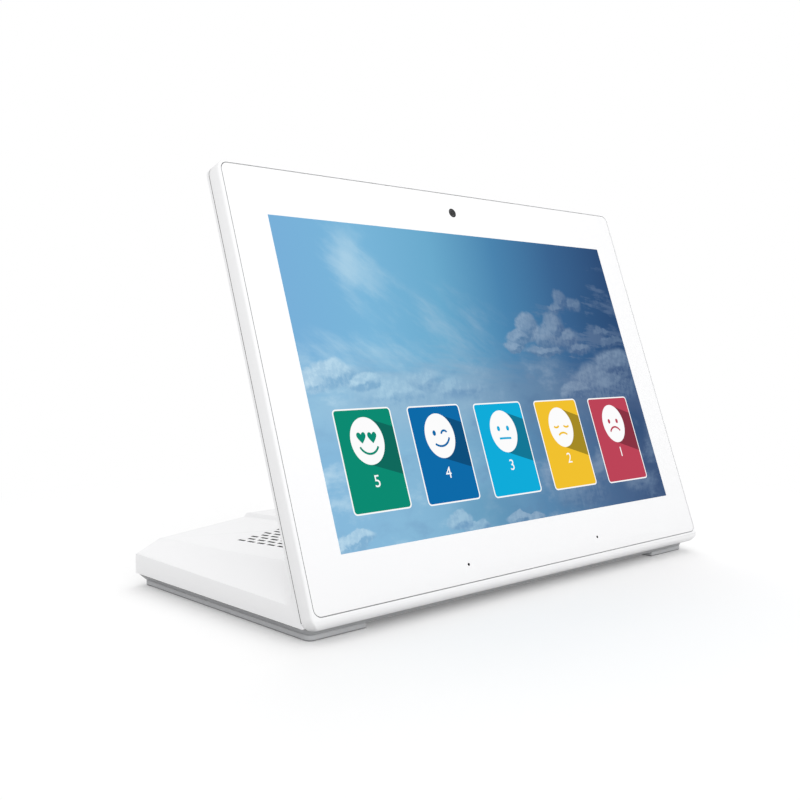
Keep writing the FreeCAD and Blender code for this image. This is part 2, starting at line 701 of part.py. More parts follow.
def deck_height(x, y=BASE_REAR):
    """Height of the crowned deck, with its flat raised middle."""
    raised = abs(x) <= PANEL_HALF
    run = HALF - DECK_INSET - (PANEL_HALF + PANEL_SLOPE if raised else abs(x))
    return DECK_EDGE + DECK_CROWN_RATIO * run + raised * PANEL_STEP + DECK_RISE_RATIO * (BASE_REAR - y)


def edge_fall(inset):
    """How far the round of the housing's long edges falls below its sloped band, this far in."""
    rest = EDGE_ROUND - inset
    return EDGE_ROUND * math.hypot(1, BAND_SLOPE) - BAND_SLOPE * rest - math.sqrt(EDGE_ROUND ** 2 - rest ** 2)


def side_profile(x, height, rise, cove, depth, wall):
    """The housing's outline in the plane X = x, or its hollow's when wall isn't zero."""
    low = SKIRT_BOTTOM - (RING_W if wall else 0)
    top = HEAD_TOP - wall
    rear = BASE_REAR - wall
    rim = min(depth, back_depth(HALF - wall) - wall)
    corner_up = (height - GLASS_LIFT + depth * SIN + rise * (BASE_REAR - depth * COS)) / (COS + rise * SIN)
    crown = min(max(HALF - abs(x), HEAD_CORNER), CROWN)
    outline = [V(x, rear, low), V(x, rear, height + rise * wall), head_point(x, corner_up, depth),
               head_point(x, HEAD_TOP - crown - wall / 4, depth), head_point(x, top, rim)]
    if wall:
        front = HOUSING_FRONT - RING_W
        foot_y = head_point(0, up_at_height(SKIRT_BOTTOM, HOUSING_FRONT), HOUSING_FRONT).y + wall
        outline += [head_point(x, top, front), head_point(x, up_at_height(LIP_TOP, front), front),
                    V(x, foot_y, LIP_TOP), V(x, foot_y, low)]
        radii = [0, cove + wall]
    else:
        outline += [head_point(x, top, HOUSING_FRONT),
                    head_point(x, up_at_height(low, HOUSING_FRONT), HOUSING_FRONT)]
        radii = [EDGE_ROUND, cove]
    return Part.Wire(chain(outline + outline[:1], radii + [0] * (len(outline) - 3)))


def housing_stations(wall):
    """From the side to the middle: x, rear height, rise, cove radius and back depth of each profile."""
    stations = []
    if wall:
        x = HALF - wall
        stations.append((x, SKIRT_TOP - wall / 2, -SKIRT_FALL_RATIO, COVE_SIDE, back_depth(x) - wall))
    else:
        for share in (0, 0.5, 1):
            inset = EDGE_ROUND * (1 - math.cos(share * math.atan2(1, BAND_SLOPE)))
            fall = edge_fall(inset)
            part = inset / DECK_INSET
            height = SKIRT_TOP + (DECK_EDGE - SKIRT_TOP) * part - fall
            rise = (DECK_RISE_RATIO + SKIRT_FALL_RATIO) * part - SKIRT_FALL_RATIO
            stations.append((HALF - inset, height, rise, COVE_SIDE, back_depth(HALF - inset) - fall))
    for edge in (HALF - DECK_INSET, HALF - CROWN, PANEL_HALF + PANEL_SLOPE, PANEL_HALF):
        x = edge - wall / 2
        stations.append((x, deck_height(x) - wall, DECK_RISE_RATIO, COVE_DECK, back_depth(x) - wall))
    return stations


def housing_form(wall):
    """The loft through the side profiles: the outer form, or the hollow when wall isn't zero."""
    stations = housing_stations(wall)
    right = [side_profile(x, *rest, wall) for x, *rest in stations]
    left = [side_profile(-x, *rest, wall) for x, *rest in stations]
    return Part.makeLoft(right + left[::-1], True, True)


def rounded_corners():
    """What the rounded corners of the head's top and the base's rear take off the housing."""
    head = corner_waste(HEAD_CORNER, BACK_DEPTH)
    head.Placement = FreeCAD.Placement(V(HALF - HEAD_CORNER, BACK_DEPTH + 1, HEAD_TOP - HEAD_CORNER),
                                       FreeCAD.Rotation(ALONG_X, ALONG_Z, -ALONG_Y, "ZXY"))
    head = lean(head)
    base = corner_waste(BASE_CORNER, DECK_EDGE * 2)
    base.translate(V(HALF - BASE_CORNER, BASE_REAR - BASE_CORNER, 0))
    return [head, mirrored(head), base, mirrored(base)]


def grille_slots():
    """Both fields of short slots over the speakers, every second row set back."""
    slots = []
    for row in range(GRILLE_ROWS):
        x = GRILLE_START - row * ROW_PITCH
        rear = GRILLE_REAR - (row % 2) * ROW_SHIFT * SLOT_PITCH
        for index in range(GRILLE_SLOTS):
            y = rear - index * SLOT_PITCH
            for side in (-1, 1):
                slots.append(block(side * x - SLOT_W / 2, side * x + SLOT_W / 2, y - SLOT_L, y,
                                   deck_height(x, y) - 2 * WALL, deck_height(x, y) + WALL))
    return slots


def back_openings():
    """The head's back: two rows of vents and a hole for each key."""
    slots = []
    for up in BACK_VENT_UP:
        for index in range(BACK_VENT_COUNT):
            x = (index - (BACK_VENT_COUNT - 1) / 2) * VENT_PITCH
            slots.append(block(x - VENT_W / 2, x + VENT_W / 2, INNER_BACK - 1, BACK_DEPTH + 1,
                               up - BACK_VENT_L / 2, up + BACK_VENT_L / 2))
    for up in (POWER_UP, VOLUME_UP, VOLUME_DOWN):
        slots.append(key_bar(up, KEY_GAP, INNER_BACK - 1, BACK_DEPTH + 1))
    return [lean(slot) for slot in slots]


def socket_cutouts():
    """The rear wall's cut-outs, a gap larger all round than each socket, and the reset pinhole."""
    sockets = [(DC_X, DC_SIZE), (LAN_X, LAN_SIZE), (USB_X[0], USB_SIZE), (USB_X[1], USB_SIZE),
               (MICRO_X, MICRO_SIZE), (AUDIO_X, AUDIO_SIZE)]
    cuts = []
    for x, (width, _, height) in sockets:
        reach = width / 2 + SOCKET_GAP
        cuts.append(block(x - reach, x + reach, BASE_REAR - WALL - 1, BASE_REAR + 1,
                          IO_TOP - SOCKET_GAP, IO_TOP + height + SOCKET_GAP))
    reset = V(RESET_X, BASE_REAR - WALL - 1, IO_TOP + RESET_BLOCK / 2)
    cuts.append(rod(RESET_HOLE_R, reset, reset + ALONG_Y * (WALL + 2)))
    return cuts


def rear_housing():
    """The one moulding behind the front frame."""
    corners = rounded_corners()
    outer = housing_form(0).cut(corners)
    posts = []
    holes = []
    for side in (-1, 1):
        x = side * HOUSING_SCREW_X
        posts.append(lean(square(x, HOUSING_SCREW_UP, TUBE_HALF, BOARD_FRONT, BACK_DEPTH)))
        holes.append(lean(pin(SHANK_R + SLIP, x, HOUSING_SCREW_UP, 0, BACK_DEPTH, peg)))
        holes.append(lean(square(x, HOUSING_SCREW_UP, PLUG_HALF, HOUSING_SCREW_SEAT, BACK_DEPTH + 1)))
        for x, y in PAN_SCREWS:
            foot = V(side * x, y, SKIRT_BOTTOM)
            posts.append(peg(BOSS_R, foot, V(side * x, y, deck_height(x, y) - WALL / 2)))
            holes.append(peg(SHANK_R + SLIP, foot - ALONG_Z, foot + ALONG_Z * PAN_SCREW_L))
    shell = outer.cut(housing_form(WALL)).fuse([post.common(outer) for post in posts])
    return shell.cut(holes + back_openings() + socket_cutouts() + grille_slots())


def housing_screws():
    """Two screws from behind, through the housing's tubes into the mid plate."""
    length = HOUSING_SCREW_SEAT - PLATE_BACK
    screws = [screw(V(side * HOUSING_SCREW_X, HOUSING_SCREW_SEAT, HOUSING_SCREW_UP), -ALONG_Y, length)
              for side in (-1, 1)]
    return lean(Part.makeCompound(screws))


def screw_plugs():
    """The soft plugs that close the housing's screw holes."""
    back = BACK_DEPTH - COUNTERBORE_GAP
    plugs = [square(side * HOUSING_SCREW_X, HOUSING_SCREW_UP, PLUG_HALF - SLIP, back - PLUG_T, back)
             for side in (-1, 1)]
    return lean(Part.makeCompound(plugs))


# Base

def pan_bosses():
    """Where screws or boards stand on the pan: place, and height of the post's top."""
    housing = [(side * x, y, SKIRT_BOTTOM) for side in (-1, 1) for x, y in PAN_SCREWS]
    bracket = [(side * BRACKET_HOLE_X, BRACKET_HOLE_Y, SKIRT_BOTTOM) for side in (-1, 1)]
    board = [(x, y, IO_BOTTOM) for x, y in IO_SCREWS]
    rests = [(x, y, IO_BOTTOM) for x, y in IO_RESTS]
    return housing, bracket, board, rests


def pan_plate(inset, rear, low, high):
    """A level plate with the pan's outline: this far in at the sides, and back to rear."""
    return rounded(block(inset - HALF, HALF - inset, PAN_FRONT, rear, low, high), PAN_CORNER, ALONG_Z)


def pan_outline(inset, rear, height):
    """The pan's outline at one height."""
    plate = pan_plate(inset, rear, height, height + 1)
    return min(plate.Faces, key=lambda face: face.CenterOfMass.z).OuterWire


def base_pan():
    """The pan that closes the base: flared out to the skirt, with a ring inside it, bosses and vents."""
    front = head_point(0, up_at_height(SKIRT_BOTTOM, HOUSING_FRONT), HOUSING_FRONT).y + WALL + GLASS_GAP
    rear = BASE_REAR - WALL - GLASS_GAP
    rim = pan_outline(PAN_RIM_INSET, BASE_REAR - PAN_RIM_INSET, PAN_WALL_TOP)
    tub = Part.makeLoft([pan_outline(PAN_INSET, PAN_REAR, PAN_BOTTOM), rim], True, True)
    ring = block(-RING_HALF, RING_HALF, front, rear, RING_BOTTOM, RING_TOP)
    cavity = block(RING_W - RING_HALF, RING_HALF - RING_W, front + RING_W, rear - RING_W,
                   PAN_FLOOR, RING_TOP + 1)
    notch = block(-IO_HALF - 1, IO_HALF + 1, rear - RING_W - 1, rear + 1, IO_BOTTOM - SEAM, RING_TOP + 1)
    pan = tub.fuse(ring).cut([cavity, notch])
    housing, bracket, board, rests = pan_bosses()
    posts = [peg(BOSS_R, V(x, y, PAN_BOTTOM), V(x, y, top))
             for x, y, top in housing + bracket + board + rests]
    pan = pan.fuse(posts).removeSplitter()
    holes = [peg(SHANK_R + SLIP, V(x, y, PAN_BOTTOM + 1), V(x, y, top + 1))
             for x, y, top in housing + bracket + board]
    holes += [peg(HEAD_R + COUNTERBORE_GAP, V(x, y, 0), V(x, y, PAN_BOTTOM + PAN_SEAT))
              for x, y, top in housing]
    for index in range(VENT_COUNT):
        x = (index - (VENT_COUNT - 1) / 2) * VENT_PITCH
        holes.append(block(x - VENT_W / 2, x + VENT_W / 2, VENT_Y - VENT_L / 2, VENT_Y + VENT_L / 2,
                           0, SKIRT_BOTTOM))
    return pan.cut(holes)


def pan_screws():
    """Four screws from below, through the pan into the housing."""
    seat = PAN_BOTTOM + PAN_SEAT
    screws = [screw(V(side * x, y, seat), ALONG_Z, PAN_SCREW_L) for side in (-1, 1) for x, y in PAN_SCREWS]
    return Part.makeCompound(screws)


def foot(side):
    """A long soft pad under one side of the pan, flush with its outline."""
    outer = side * HALF
    inner = side * (PAN_HALF - FOOT_W)
    reach = block(min(outer, inner), max(outer, inner), 0, BASE_REAR, 0, PAN_BOTTOM)
    return pan_plate(PAN_INSET, PAN_REAR, 0, PAN_BOTTOM).common(reach)


def bracket_path():
    """The middle line of the bent bracket, from the mid plate down and along the pan."""
    depth = PLATE_BACK + BRACKET_T / 2
    height = SKIRT_BOTTOM + BRACKET_T / 2
    return [head_point(0, BRACKET_TOP, depth), head_point(0, BRACKET_LOW, depth),
            V(0, BRACKET_TOE, height), V(0, BRACKET_REAR, height)]


def support_bracket():
    """The bent steel bracket that ties the head's mid plate to the base pan."""
    bracket = strip(bracket_path(), BRACKET_BEND, BRACKET_T, BRACKET_W)
    holes = []
    for x in (-BRACKET_HOLE_X, BRACKET_HOLE_X):
        holes.append(lean(pin(SHANK_R + SLIP, x, BRACKET_HOLE_UP, 0, BACK_DEPTH, peg)))
        holes.append(peg(SHANK_R + SLIP, V(x, BRACKET_HOLE_Y, 0), V(x, BRACKET_HOLE_Y, LIP_TOP)))
    return bracket.cut(holes)


def bracket_screws():
    """Two screws into the mid plate and two into the pan."""
    screws = []
    for x in (-BRACKET_HOLE_X, BRACKET_HOLE_X):
        seat = V(x, PLATE_BACK + BRACKET_T, BRACKET_HOLE_UP)
        screws.append(lean(screw(seat, -ALONG_Y, BRACKET_T + PLATE_T)))
        foot = V(x, BRACKET_HOLE_Y, SKIRT_BOTTOM + BRACKET_T)
        screws.append(screw(foot, -ALONG_Z, PAN_T + BRACKET_T))
    return Part.makeCompound(screws)


def under_deck(shape, side):
    """Hangs a piece, drawn with the grille's middle at the origin and down as -Z, under the deck."""
    x = GRILLE_START - (GRILLE_ROWS - 1) * ROW_PITCH / 2
    y = GRILLE_REAR - (GRILLE_SLOTS + ROW_SHIFT) * SLOT_PITCH / 2
    normal = V(side * DECK_CROWN_RATIO, DECK_RISE_RATIO, 1).normalize()
    across = V(1, 0, -side * DECK_CROWN_RATIO).normalize()
    placed = shape.copy()
    placed.translate(V(0, 0, -WALL * normal.z - SPEAKER_SEAT))
    turn = FreeCAD.Rotation(across, normal.cross(across), normal, "ZXY")
    placed.transformShape(FreeCAD.Placement(V(side * x, y, deck_height(x, y)), turn).toMatrix())
    return placed


def speaker_mesh(side):
    """The dust mesh under a grille."""
    sheet = block(-SPEAKER_W / 2, SPEAKER_W / 2, -SPEAKER_L / 2, SPEAKER_L / 2, -MESH_T, 0)
    return under_deck(sheet, side)


def speaker_gasket(side):
    """The foam ring between the mesh and a speaker."""
    reach_x = SPEAKER_W / 2
    reach_y = SPEAKER_L / 2
    low = -MESH_T - SPEAKER_GASKET_T
    ring = block(-reach_x, reach_x, -reach_y, reach_y, low, -MESH_T)
    inside = block(GASKET_W - reach_x, reach_x - GASKET_W, GASKET_W - reach_y, reach_y - GASKET_W, low, 0)
    return under_deck(ring.cut(inside), side)


def speaker(side):
    """A boxed speaker that faces the grille."""
    top = -MESH_T - SPEAKER_GASKET_T
    case = block(-SPEAKER_W / 2, SPEAKER_W / 2, -SPEAKER_L / 2, SPEAKER_L / 2, top - SPEAKER_T, top)
    return under_deck(case, side)


# Input and output board

def io_board():
    """The board that carries the sockets along the rear wall."""
    board = block(-IO_HALF, IO_HALF, IO_FRONT, IO_REAR, IO_BOTTOM, IO_TOP)
    half = RESET_BLOCK / 2
    switch_rear = IO_REAR - RESET_BLOCK
    switch = block(RESET_X - half, RESET_X + half, switch_rear - RESET_BLOCK, switch_rear,
                   IO_TOP, IO_TOP + RESET_BLOCK)
    chips = [block(x - IO_CHIP / 2, x + IO_CHIP / 2, IO_FRONT + IO_CHIP, IO_FRONT + 2 * IO_CHIP,
                   IO_TOP, IO_TOP + IO_CHIP_T) for x in IO_CHIP_X]
    board = board.fuse(chips + [switch])
    guide = V(RESET_X, switch_rear - RESET_BLOCK + 1, IO_TOP + half)
    reach = RESET_R + SLIP
    holes = [peg(SHANK_R + SLIP, V(x, y, 0), V(x, y, LIP_TOP)) for x, y in IO_SCREWS]
    holes.append(block(RESET_X - reach, RESET_X + reach, guide.y, switch_rear + 1,
                       guide.z - reach, guide.z + reach))
    return board.cut(holes)


def io_board_screws():
    """Two screws from the board into the pan."""
    screws = [screw(V(x, y, IO_TOP), -ALONG_Z, BOARD_T + IO_LIFT) for x, y in IO_SCREWS]
    return Part.makeCompound(screws)


def reset_button():
    """The plunger of the reset switch, behind its pinhole."""
    front = IO_REAR - 2 * RESET_BLOCK + 1 + RESET_TRAVEL + SWITCH_GAP
    start = V(RESET_X, front, IO_TOP + RESET_BLOCK / 2)
    return rod(RESET_R, start, start + ALONG_Y * RESET_LENGTH)


def socket_case(x, size):
    """A socket's case, standing on the board with its face in the rear wall."""
    width, length, height = size
    return block(x - width / 2, x + width / 2, SOCKET_FACE - length, SOCKET_FACE, IO_TOP, IO_TOP + height)


def mouth(x, size, lift):
    """The rectangular cavity of a socket, open to the rear."""
    width, length, height = size
    return block(x - width / 2, x + width / 2, SOCKET_FACE - length, SOCKET_FACE + 1, lift, lift + height)


def lan_port():
    """The network socket: a shielded case with a keyed cavity."""
    lift = IO_TOP + 2
    cavity = mouth(LAN_X, LAN_MOUTH, lift)
    latch = mouth(LAN_X, (LAN_MOUTH[0] / 2, LAN_MOUTH[1] / 2, LAN_MOUTH[2] + 1.6), lift)
    return socket_case(LAN_X, LAN_SIZE).cut([cavity, latch])


def usb_port(x):
    """A full size USB socket with its tongue."""
    lift = IO_TOP + (USB_SIZE[2] - USB_MOUTH[2]) / 2
    tongue = block(x - 5.5, x + 5.5, SOCKET_FACE - USB_MOUTH[1] - 1, SOCKET_FACE - 1.5,
                   lift + 2.5, lift + 4.4)
    return socket_case(x, USB_SIZE).cut(mouth(x, USB_MOUTH, lift)).fuse(tongue)


def dc_jack():
    """The power inlet: a round mouth with a centre pin."""
    middle = V(DC_X, SOCKET_FACE + 1, IO_TOP + DC_SIZE[2] / 2)
    depth = DC_SIZE[1] * 0.7
    bore = rod(DC_MOUTH_R, middle, middle - ALONG_Y * depth)
    centre_pin = rod(DC_PIN_R, middle - ALONG_Y * 2, middle - ALONG_Y * (depth + 1))
    return socket_case(DC_X, DC_SIZE).cut(bore).fuse(centre_pin)


def micro_usb_port():
    """The small service socket with its tongue."""
    lift = IO_TOP + (MICRO_SIZE[2] - MICRO_MOUTH[2]) / 2
    tongue = block(MICRO_X - 1.8, MICRO_X + 1.8, SOCKET_FACE - MICRO_MOUTH[1] - 0.5, SOCKET_FACE - 1,
                   lift + 0.9, lift + 1.5)
    return socket_case(MICRO_X, MICRO_SIZE).cut(mouth(MICRO_X, MICRO_MOUTH, lift)).fuse(tongue)


def audio_jack():
    """The headphone socket."""
    face = V(AUDIO_X, SOCKET_FACE, IO_TOP + AUDIO_SIZE[2] / 2)
    case = block(AUDIO_X - AUDIO_SIZE[0] / 2, AUDIO_X + AUDIO_SIZE[0] / 2, SOCKET_FACE - AUDIO_DEPTH - 1,
                 SOCKET_FACE, IO_TOP, IO_TOP + AUDIO_SIZE[2])
    return case.cut(rod(AUDIO_R, face, face - ALONG_Y * AUDIO_DEPTH))


def main_ribbon():
    """The flat cable from the main board down to the board in the base."""
    far = BOARD_BACK + RIBBON_T / 2
    landing = IO_TOP + RIBBON_T / 2
    path = [head_point(0, BOARD_UP + RIBBON_LANDING, far), head_point(0, BRACKET_LOW * 2, far),
            V(0, BRACKET_TOE * 2, landing + 4), V(0, IO_FRONT - 12, landing + 4),
            V(0, IO_FRONT - 3, landing), V(0, IO_FRONT + 7, landing)]
    ribbon = strip(path, RIBBON_BEND, RIBBON_T, RIBBON_W)
    ribbon.translate(V(RIBBON_X, 0, 0))
    return ribbon


PIECES = {
    "front_frame": front_frame(),
    "cover_glass": cover_glass(),
    "glass_tape": glass_tape(),
    "touch_sensor": touch_sensor(),
    "display_gasket": display_gasket(),
    "display_panel": display_panel(),
    "mid_plate": mid_plate(),
    "mid_plate_screws": mid_plate_screws(),
    "camera_module": camera_module(),
    "camera_gasket": camera_gasket(),
    "camera_cable": camera_cable(),
    "main_board": main_board(),
    "main_board_screws": main_board_screws(),
    "shield_can": shield_can(),
    "thermal_pad": thermal_pad(),
    "heat_sink": heat_sink(),
    "key_board": key_board(),
    "power_button": key(POWER_UP),
    "volume_up_button": key(VOLUME_UP),
    "volume_down_button": key(VOLUME_DOWN),
    "display_ribbon": display_ribbon(),
    "rear_housing": rear_housing(),
    "housing_screws": housing_screws(),
    "screw_plugs": screw_plugs(),
    "base_pan": base_pan(),
    "pan_screws": pan_screws(),
    "support_bracket": support_bracket(),
    "bracket_screws": bracket_screws(),
    "io_board": io_board(),
    "io_board_screws": io_board_screws(),
    "reset_button": reset_button(),
    "lan_port": lan_port(),
    "usb_port_left": usb_port(USB_X[0]),
    "usb_port_right": usb_port(USB_X[1]),
    "dc_jack": dc_jack(),
    "micro_usb_port": micro_usb_port(),
    "audio_jack": audio_jack(),
    "main_ribbon": main_ribbon(),
}
for name, side in (("left", -1), ("right", 1)):
    PIECES["foot_" + name] = foot(side)
    PIECES["microphone_" + name] = microphone(side)
    PIECES["mic_boot_" + name] = mic_boot(side)
    PIECES["antenna_" + name] = antenna(side)
    PIECES["speaker_mesh_" + name] = speaker_mesh(side)
    PIECES["speaker_gasket_" + name] = speaker_gasket(side)
    PIECES["speaker_" + name] = speaker(side)

os.makedirs("parts", exist_ok=True)
for name, shape in PIECES.items():
    # The origin is the middle of the footprint, on the floor.
    shape.translate(V(0, -FOOTPRINT_MIDDLE, 0))
    shape.exportStep("parts/" + name + ".step")
    print(name, len(shape.Solids), "solid", round(shape.Volume / 1000, 2), "cm3", shape.isValid())
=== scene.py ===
# %% [markdown]
# # A desktop feedback terminal, dressed part by part
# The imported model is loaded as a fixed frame: every solid already stands where it belongs, in metres.
# This lesson gives those solids their finishes, and models the pieces that a plain solid can't show:
# the glass with its lit picture, the five cards on it, the moulded edges and the small rear fittings.

# %% Load the frame
import bpy
import math
from mathutils import Matrix, Vector


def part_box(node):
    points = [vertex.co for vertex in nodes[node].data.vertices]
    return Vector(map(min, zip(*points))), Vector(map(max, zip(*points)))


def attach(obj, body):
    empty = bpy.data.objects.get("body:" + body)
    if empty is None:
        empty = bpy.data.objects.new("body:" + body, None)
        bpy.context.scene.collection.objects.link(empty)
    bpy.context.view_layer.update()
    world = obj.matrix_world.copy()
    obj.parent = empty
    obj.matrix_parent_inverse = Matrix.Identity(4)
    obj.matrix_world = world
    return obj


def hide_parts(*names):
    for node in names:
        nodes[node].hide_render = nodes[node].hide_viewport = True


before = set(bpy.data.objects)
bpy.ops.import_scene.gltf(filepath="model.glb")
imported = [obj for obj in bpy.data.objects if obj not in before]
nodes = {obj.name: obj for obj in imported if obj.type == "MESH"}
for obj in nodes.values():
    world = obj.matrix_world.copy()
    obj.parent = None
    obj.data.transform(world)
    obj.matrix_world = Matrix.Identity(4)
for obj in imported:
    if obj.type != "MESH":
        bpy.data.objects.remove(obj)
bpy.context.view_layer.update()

# %% [markdown]
# ## Where the head leans
# Everything on the glass is easiest to model on an upright head: X across, Z up along the glass, Y into
# it. One matrix then leans a finished mesh back into its place. The lowest front edge of the glass
# gives the place, so the head's pieces follow the solids.

# %% The head's own frame
MM = 0.001
LEAN = math.radians(19.3)
GLASS_W = 251.0 * MM
GLASS_H = 178.6 * MM
GLASS_T = 1.8 * MM
glass_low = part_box("cover_glass")[0]
head_origin = Vector((0, glass_low.y, glass_low.z + GLASS_T * math.sin(LEAN)))
LEANED = Matrix.Translation(head_origin) @ Matrix.Rotation(-LEAN, 4, "X")
print("glass front edge at", [round(v, 5) for v in head_origin])

# %% [markdown]
# ## The camera
# A camera is a place, a direction and a lens. This one stands to the left of the terminal, a little
# above half its height, and looks slightly down along the same line of sight for every render.

# %% Camera
CAMERA_PLACE = (-0.34169, -0.34382, 0.10747)
CAMERA_TURN = math.radians(-42.65)
CAMERA_DIP = math.radians(3.107)
LENS_MM = 45.14
camera_data = bpy.data.cameras.new("camera")
camera_data.lens = LENS_MM
camera_data.sensor_width = 36.0
camera = bpy.data.objects.new("camera", camera_data)
camera.location = CAMERA_PLACE
camera.rotation_euler = (math.pi / 2 - CAMERA_DIP, 0, CAMERA_TURN)
bpy.context.scene.collection.objects.link(camera)
bpy.context.scene.camera = camera
print("camera looks", round(math.degrees(-CAMERA_TURN), 2), "degrees to the right of straight back")

# %% [markdown]
# ## A small workbench for materials
# A shader is a graph, but most of its maths reads better as plain sums. `Wire` wraps one output socket
# and turns + - * / into Math nodes, also where a plain number stands first. `Bench` holds one material:
# `node` adds any other kind of node, and `feed` sets or links the inputs of its Principled shader.

# %% Wire and Bench
def operator(operation, turned=False):
    """A method that makes a Math node of a wire and another value, the other one first if turned."""
    def method(self, other):
        return self.bench.sums(operation, *((other, self) if turned else (self, other)))
    return method


class Wire:
    """An output socket that adds, subtracts, multiplies and divides like a number."""

    __add__, __radd__ = operator("ADD"), operator("ADD", True)
    __sub__, __rsub__ = operator("SUBTRACT"), operator("SUBTRACT", True)
    __mul__, __rmul__ = operator("MULTIPLY"), operator("MULTIPLY", True)
    __truediv__, __rtruediv__ = operator("DIVIDE"), operator("DIVIDE", True)

    def __init__(self, bench, socket):
        self.bench = bench
        self.socket = socket

    def other(self, name):
        """Another output of the same node."""
        return Wire(self.bench, self.socket.node.outputs[name])


class Bench:
    """One material and its node tree."""

    def __init__(self, name):
        self.material = bpy.data.materials.new(name)
        self.material.use_nodes = True
        self.tree = self.material.node_tree
        self.shader = self.tree.nodes["Principled BSDF"]

    def plug(self, socket, value):
        """Links a wire to a socket, or sets the socket's own value."""
        if isinstance(value, Wire):
            self.tree.links.new(value.socket, socket)
        elif isinstance(value, tuple) and len(value) == 3 and socket.type == "RGBA":
            socket.default_value = (*value, 1)
        else:
            socket.default_value = value

    def node(self, kind, settings, sockets):
        """Adds a node: settings first, then sockets by name or number. Gives its first live output."""
        made = self.tree.nodes.new("ShaderNode" + kind)
        for key, value in settings.items():
            if key == "stops":
                ramp = made.color_ramp
                while len(ramp.elements) < len(value):
                    ramp.elements.new(0.5)
                for element, (place, colour) in zip(ramp.elements, value):
                    element.position = place
                    element.color = (*colour, 1)
            else:
                setattr(made, key, value)
        for key, value in sockets.items():
            self.plug(made.inputs[key], value)
        return Wire(self, next(out for out in made.outputs if out.enabled))

    def sums(self, operation, first, second):
        """A Math node on two values."""
        return self.node("Math", {"operation": operation}, {0: first, 1: second})

    def step(self, value, low, high):
        """Runs smoothly from 0 to 1 while value goes from low to high."""
        return self.node("MapRange", {"interpolation_type": "SMOOTHSTEP"},
                         {"Value": value, "From Min": low, "From Max": high})

    def blend(self, share, first, second):
        """One colour turned into another by a share from 0 to 1."""
        return self.node("Mix", {"data_type": "RGBA"}, {"Factor": share, 6: first, 7: second})

    def place(self):
        """Object coordinates, in metres."""
        return self.node("TexCoord", {}, {}).other("Object")

    def noise(self, scale, detail=2.0, vector=None, roughness=0.5):
        """Soft random values from 0 to 1; scale counts the waves per metre."""
        return self.node("TexNoise", {}, {"Vector": vector or self.place(), "Scale": scale,
                                          "Detail": detail, "Roughness": roughness})

    def bump(self, height, strength, depth):
        """A normal from a height."""
        return self.node("Bump", {}, {"Height": height, "Strength": strength, "Distance": depth})

    def feed(self, sockets):
        """Sets or links the Principled shader's sockets, and gives the material."""
        for key, value in sockets.items():
            self.plug(self.shader.inputs[key], value)
        return self.material


def srgb(red, green, blue):
    """A screen colour, 0 to 255, as the linear values that shaders use."""
    return tuple(((c / 255 + 0.055) / 1.055) ** 2.4 if c > 10 else c / 3294.6 for c in (red, green, blue))


def tint(colour, share):
    """The same colour, lighter or darker by a share."""
    return tuple(min(1.0, c * share) for c in colour)


print("a mid grey is", [round(c, 3) for c in srgb(128, 128, 128)])

# %% [markdown]
# ## White moulded plastic
# The case is one white plastic, satin and almost flawless. Up close such a moulding has a very fine
# grain from the tool's surface, faint flow variations in colour, and slightly uneven gloss. Three
# noises at very different scales give that, each far too weak to be seen as a pattern.

# %% Moulded plastics
def moulded(name, colour, roughness, grain, waves=2600.0, coat=0.0):
    """Moulded plastic: a near-even colour, uneven gloss and a fine tool grain."""
    bench = Bench(name)
    flow = bench.noise(9.0, 3.0)
    fine = bench.noise(waves, 2.0)
    return bench.feed({
        "Base Color": bench.blend(flow, tint(colour, 0.985), tint(colour, 1.01)),
        "Roughness": roughness + (bench.noise(60.0, 2.0) - 0.5) * 0.08,
        "Normal": bench.bump(fine, grain, 0.00004),
        "Coat Weight": coat,
        "Coat Roughness": 0.12,
    })


WHITE = srgb(246, 246, 247)
white_case = moulded("white_case_plastic", WHITE, 0.34, 0.10, coat=0.25)
white_keys = moulded("white_key_plastic", WHITE, 0.28, 0.06, coat=0.3)
key_print = moulded("key_print", srgb(122, 124, 128), 0.5, 0.2, waves=1500.0)
# The pan is white plastic like the case; its grey is painted shade, for it sits in the shadow under the
# skirt.
pan_plastic = moulded("pan_plastic", srgb(170, 171, 173), 0.55, 0.35, waves=1500.0)
plug_rubber = moulded("plug_rubber", srgb(238, 238, 239), 0.62, 0.3, waves=1800.0)
foot_rubber = moulded("foot_rubber", srgb(192, 193, 195), 0.72, 0.5, waves=1200.0)
black_plastic = moulded("black_plastic", srgb(26, 26, 28), 0.45, 0.4, waves=1400.0)
black_rubber = moulded("black_rubber", srgb(22, 22, 23), 0.8, 0.5, waves=1200.0)
# seam_shadow is painted shade: white faces deep in the seams, the glass gap and the grille slots are greyed
# to stand for their shade.
seam_shadow = moulded("seam_shadow", srgb(84, 84, 86), 0.9, 0.3, waves=1500.0)
# painted shade: the feet's lowest edge is darkened for the contact shadow where they meet the floor.
sole_rubber = moulded("sole_rubber", srgb(146, 147, 149), 0.85, 0.5, waves=1200.0)
foam = moulded("foam", srgb(34, 34, 36), 0.95, 0.9, waves=900.0)
print("moulded plastics:", 11)

# %% [markdown]
# ## Inner and metal finishes
# Only slivers of these show, through the vents, the sockets and the grilles. Sheet steel has brushed
# streaks along one way, a circuit board has copper tracks under its green mask, and the dust mesh
# behind the grilles is a dark weave. So little of them shows that no track or thread is modelled: one
# stretched noise, cell or wave texture each, at the real scale, is enough.

# %% Metals, boards and mesh
def brushed(name, colour, roughness):
    """Rolled metal with streaks along X."""
    bench = Bench(name)
    stretched = bench.node("Mapping", {}, {"Vector": bench.place(), "Scale": (60, 3000, 3000)})
    streaks = bench.noise(1.0, 4.0, stretched)
    return bench.feed({
        "Base Color": bench.blend(streaks, tint(colour, 0.86), tint(colour, 1.08)),
        "Metallic": 1.0,
        "Roughness": roughness + (streaks - 0.5) * 0.25,
        "Normal": bench.bump(streaks, 0.15, 0.00003),
    })


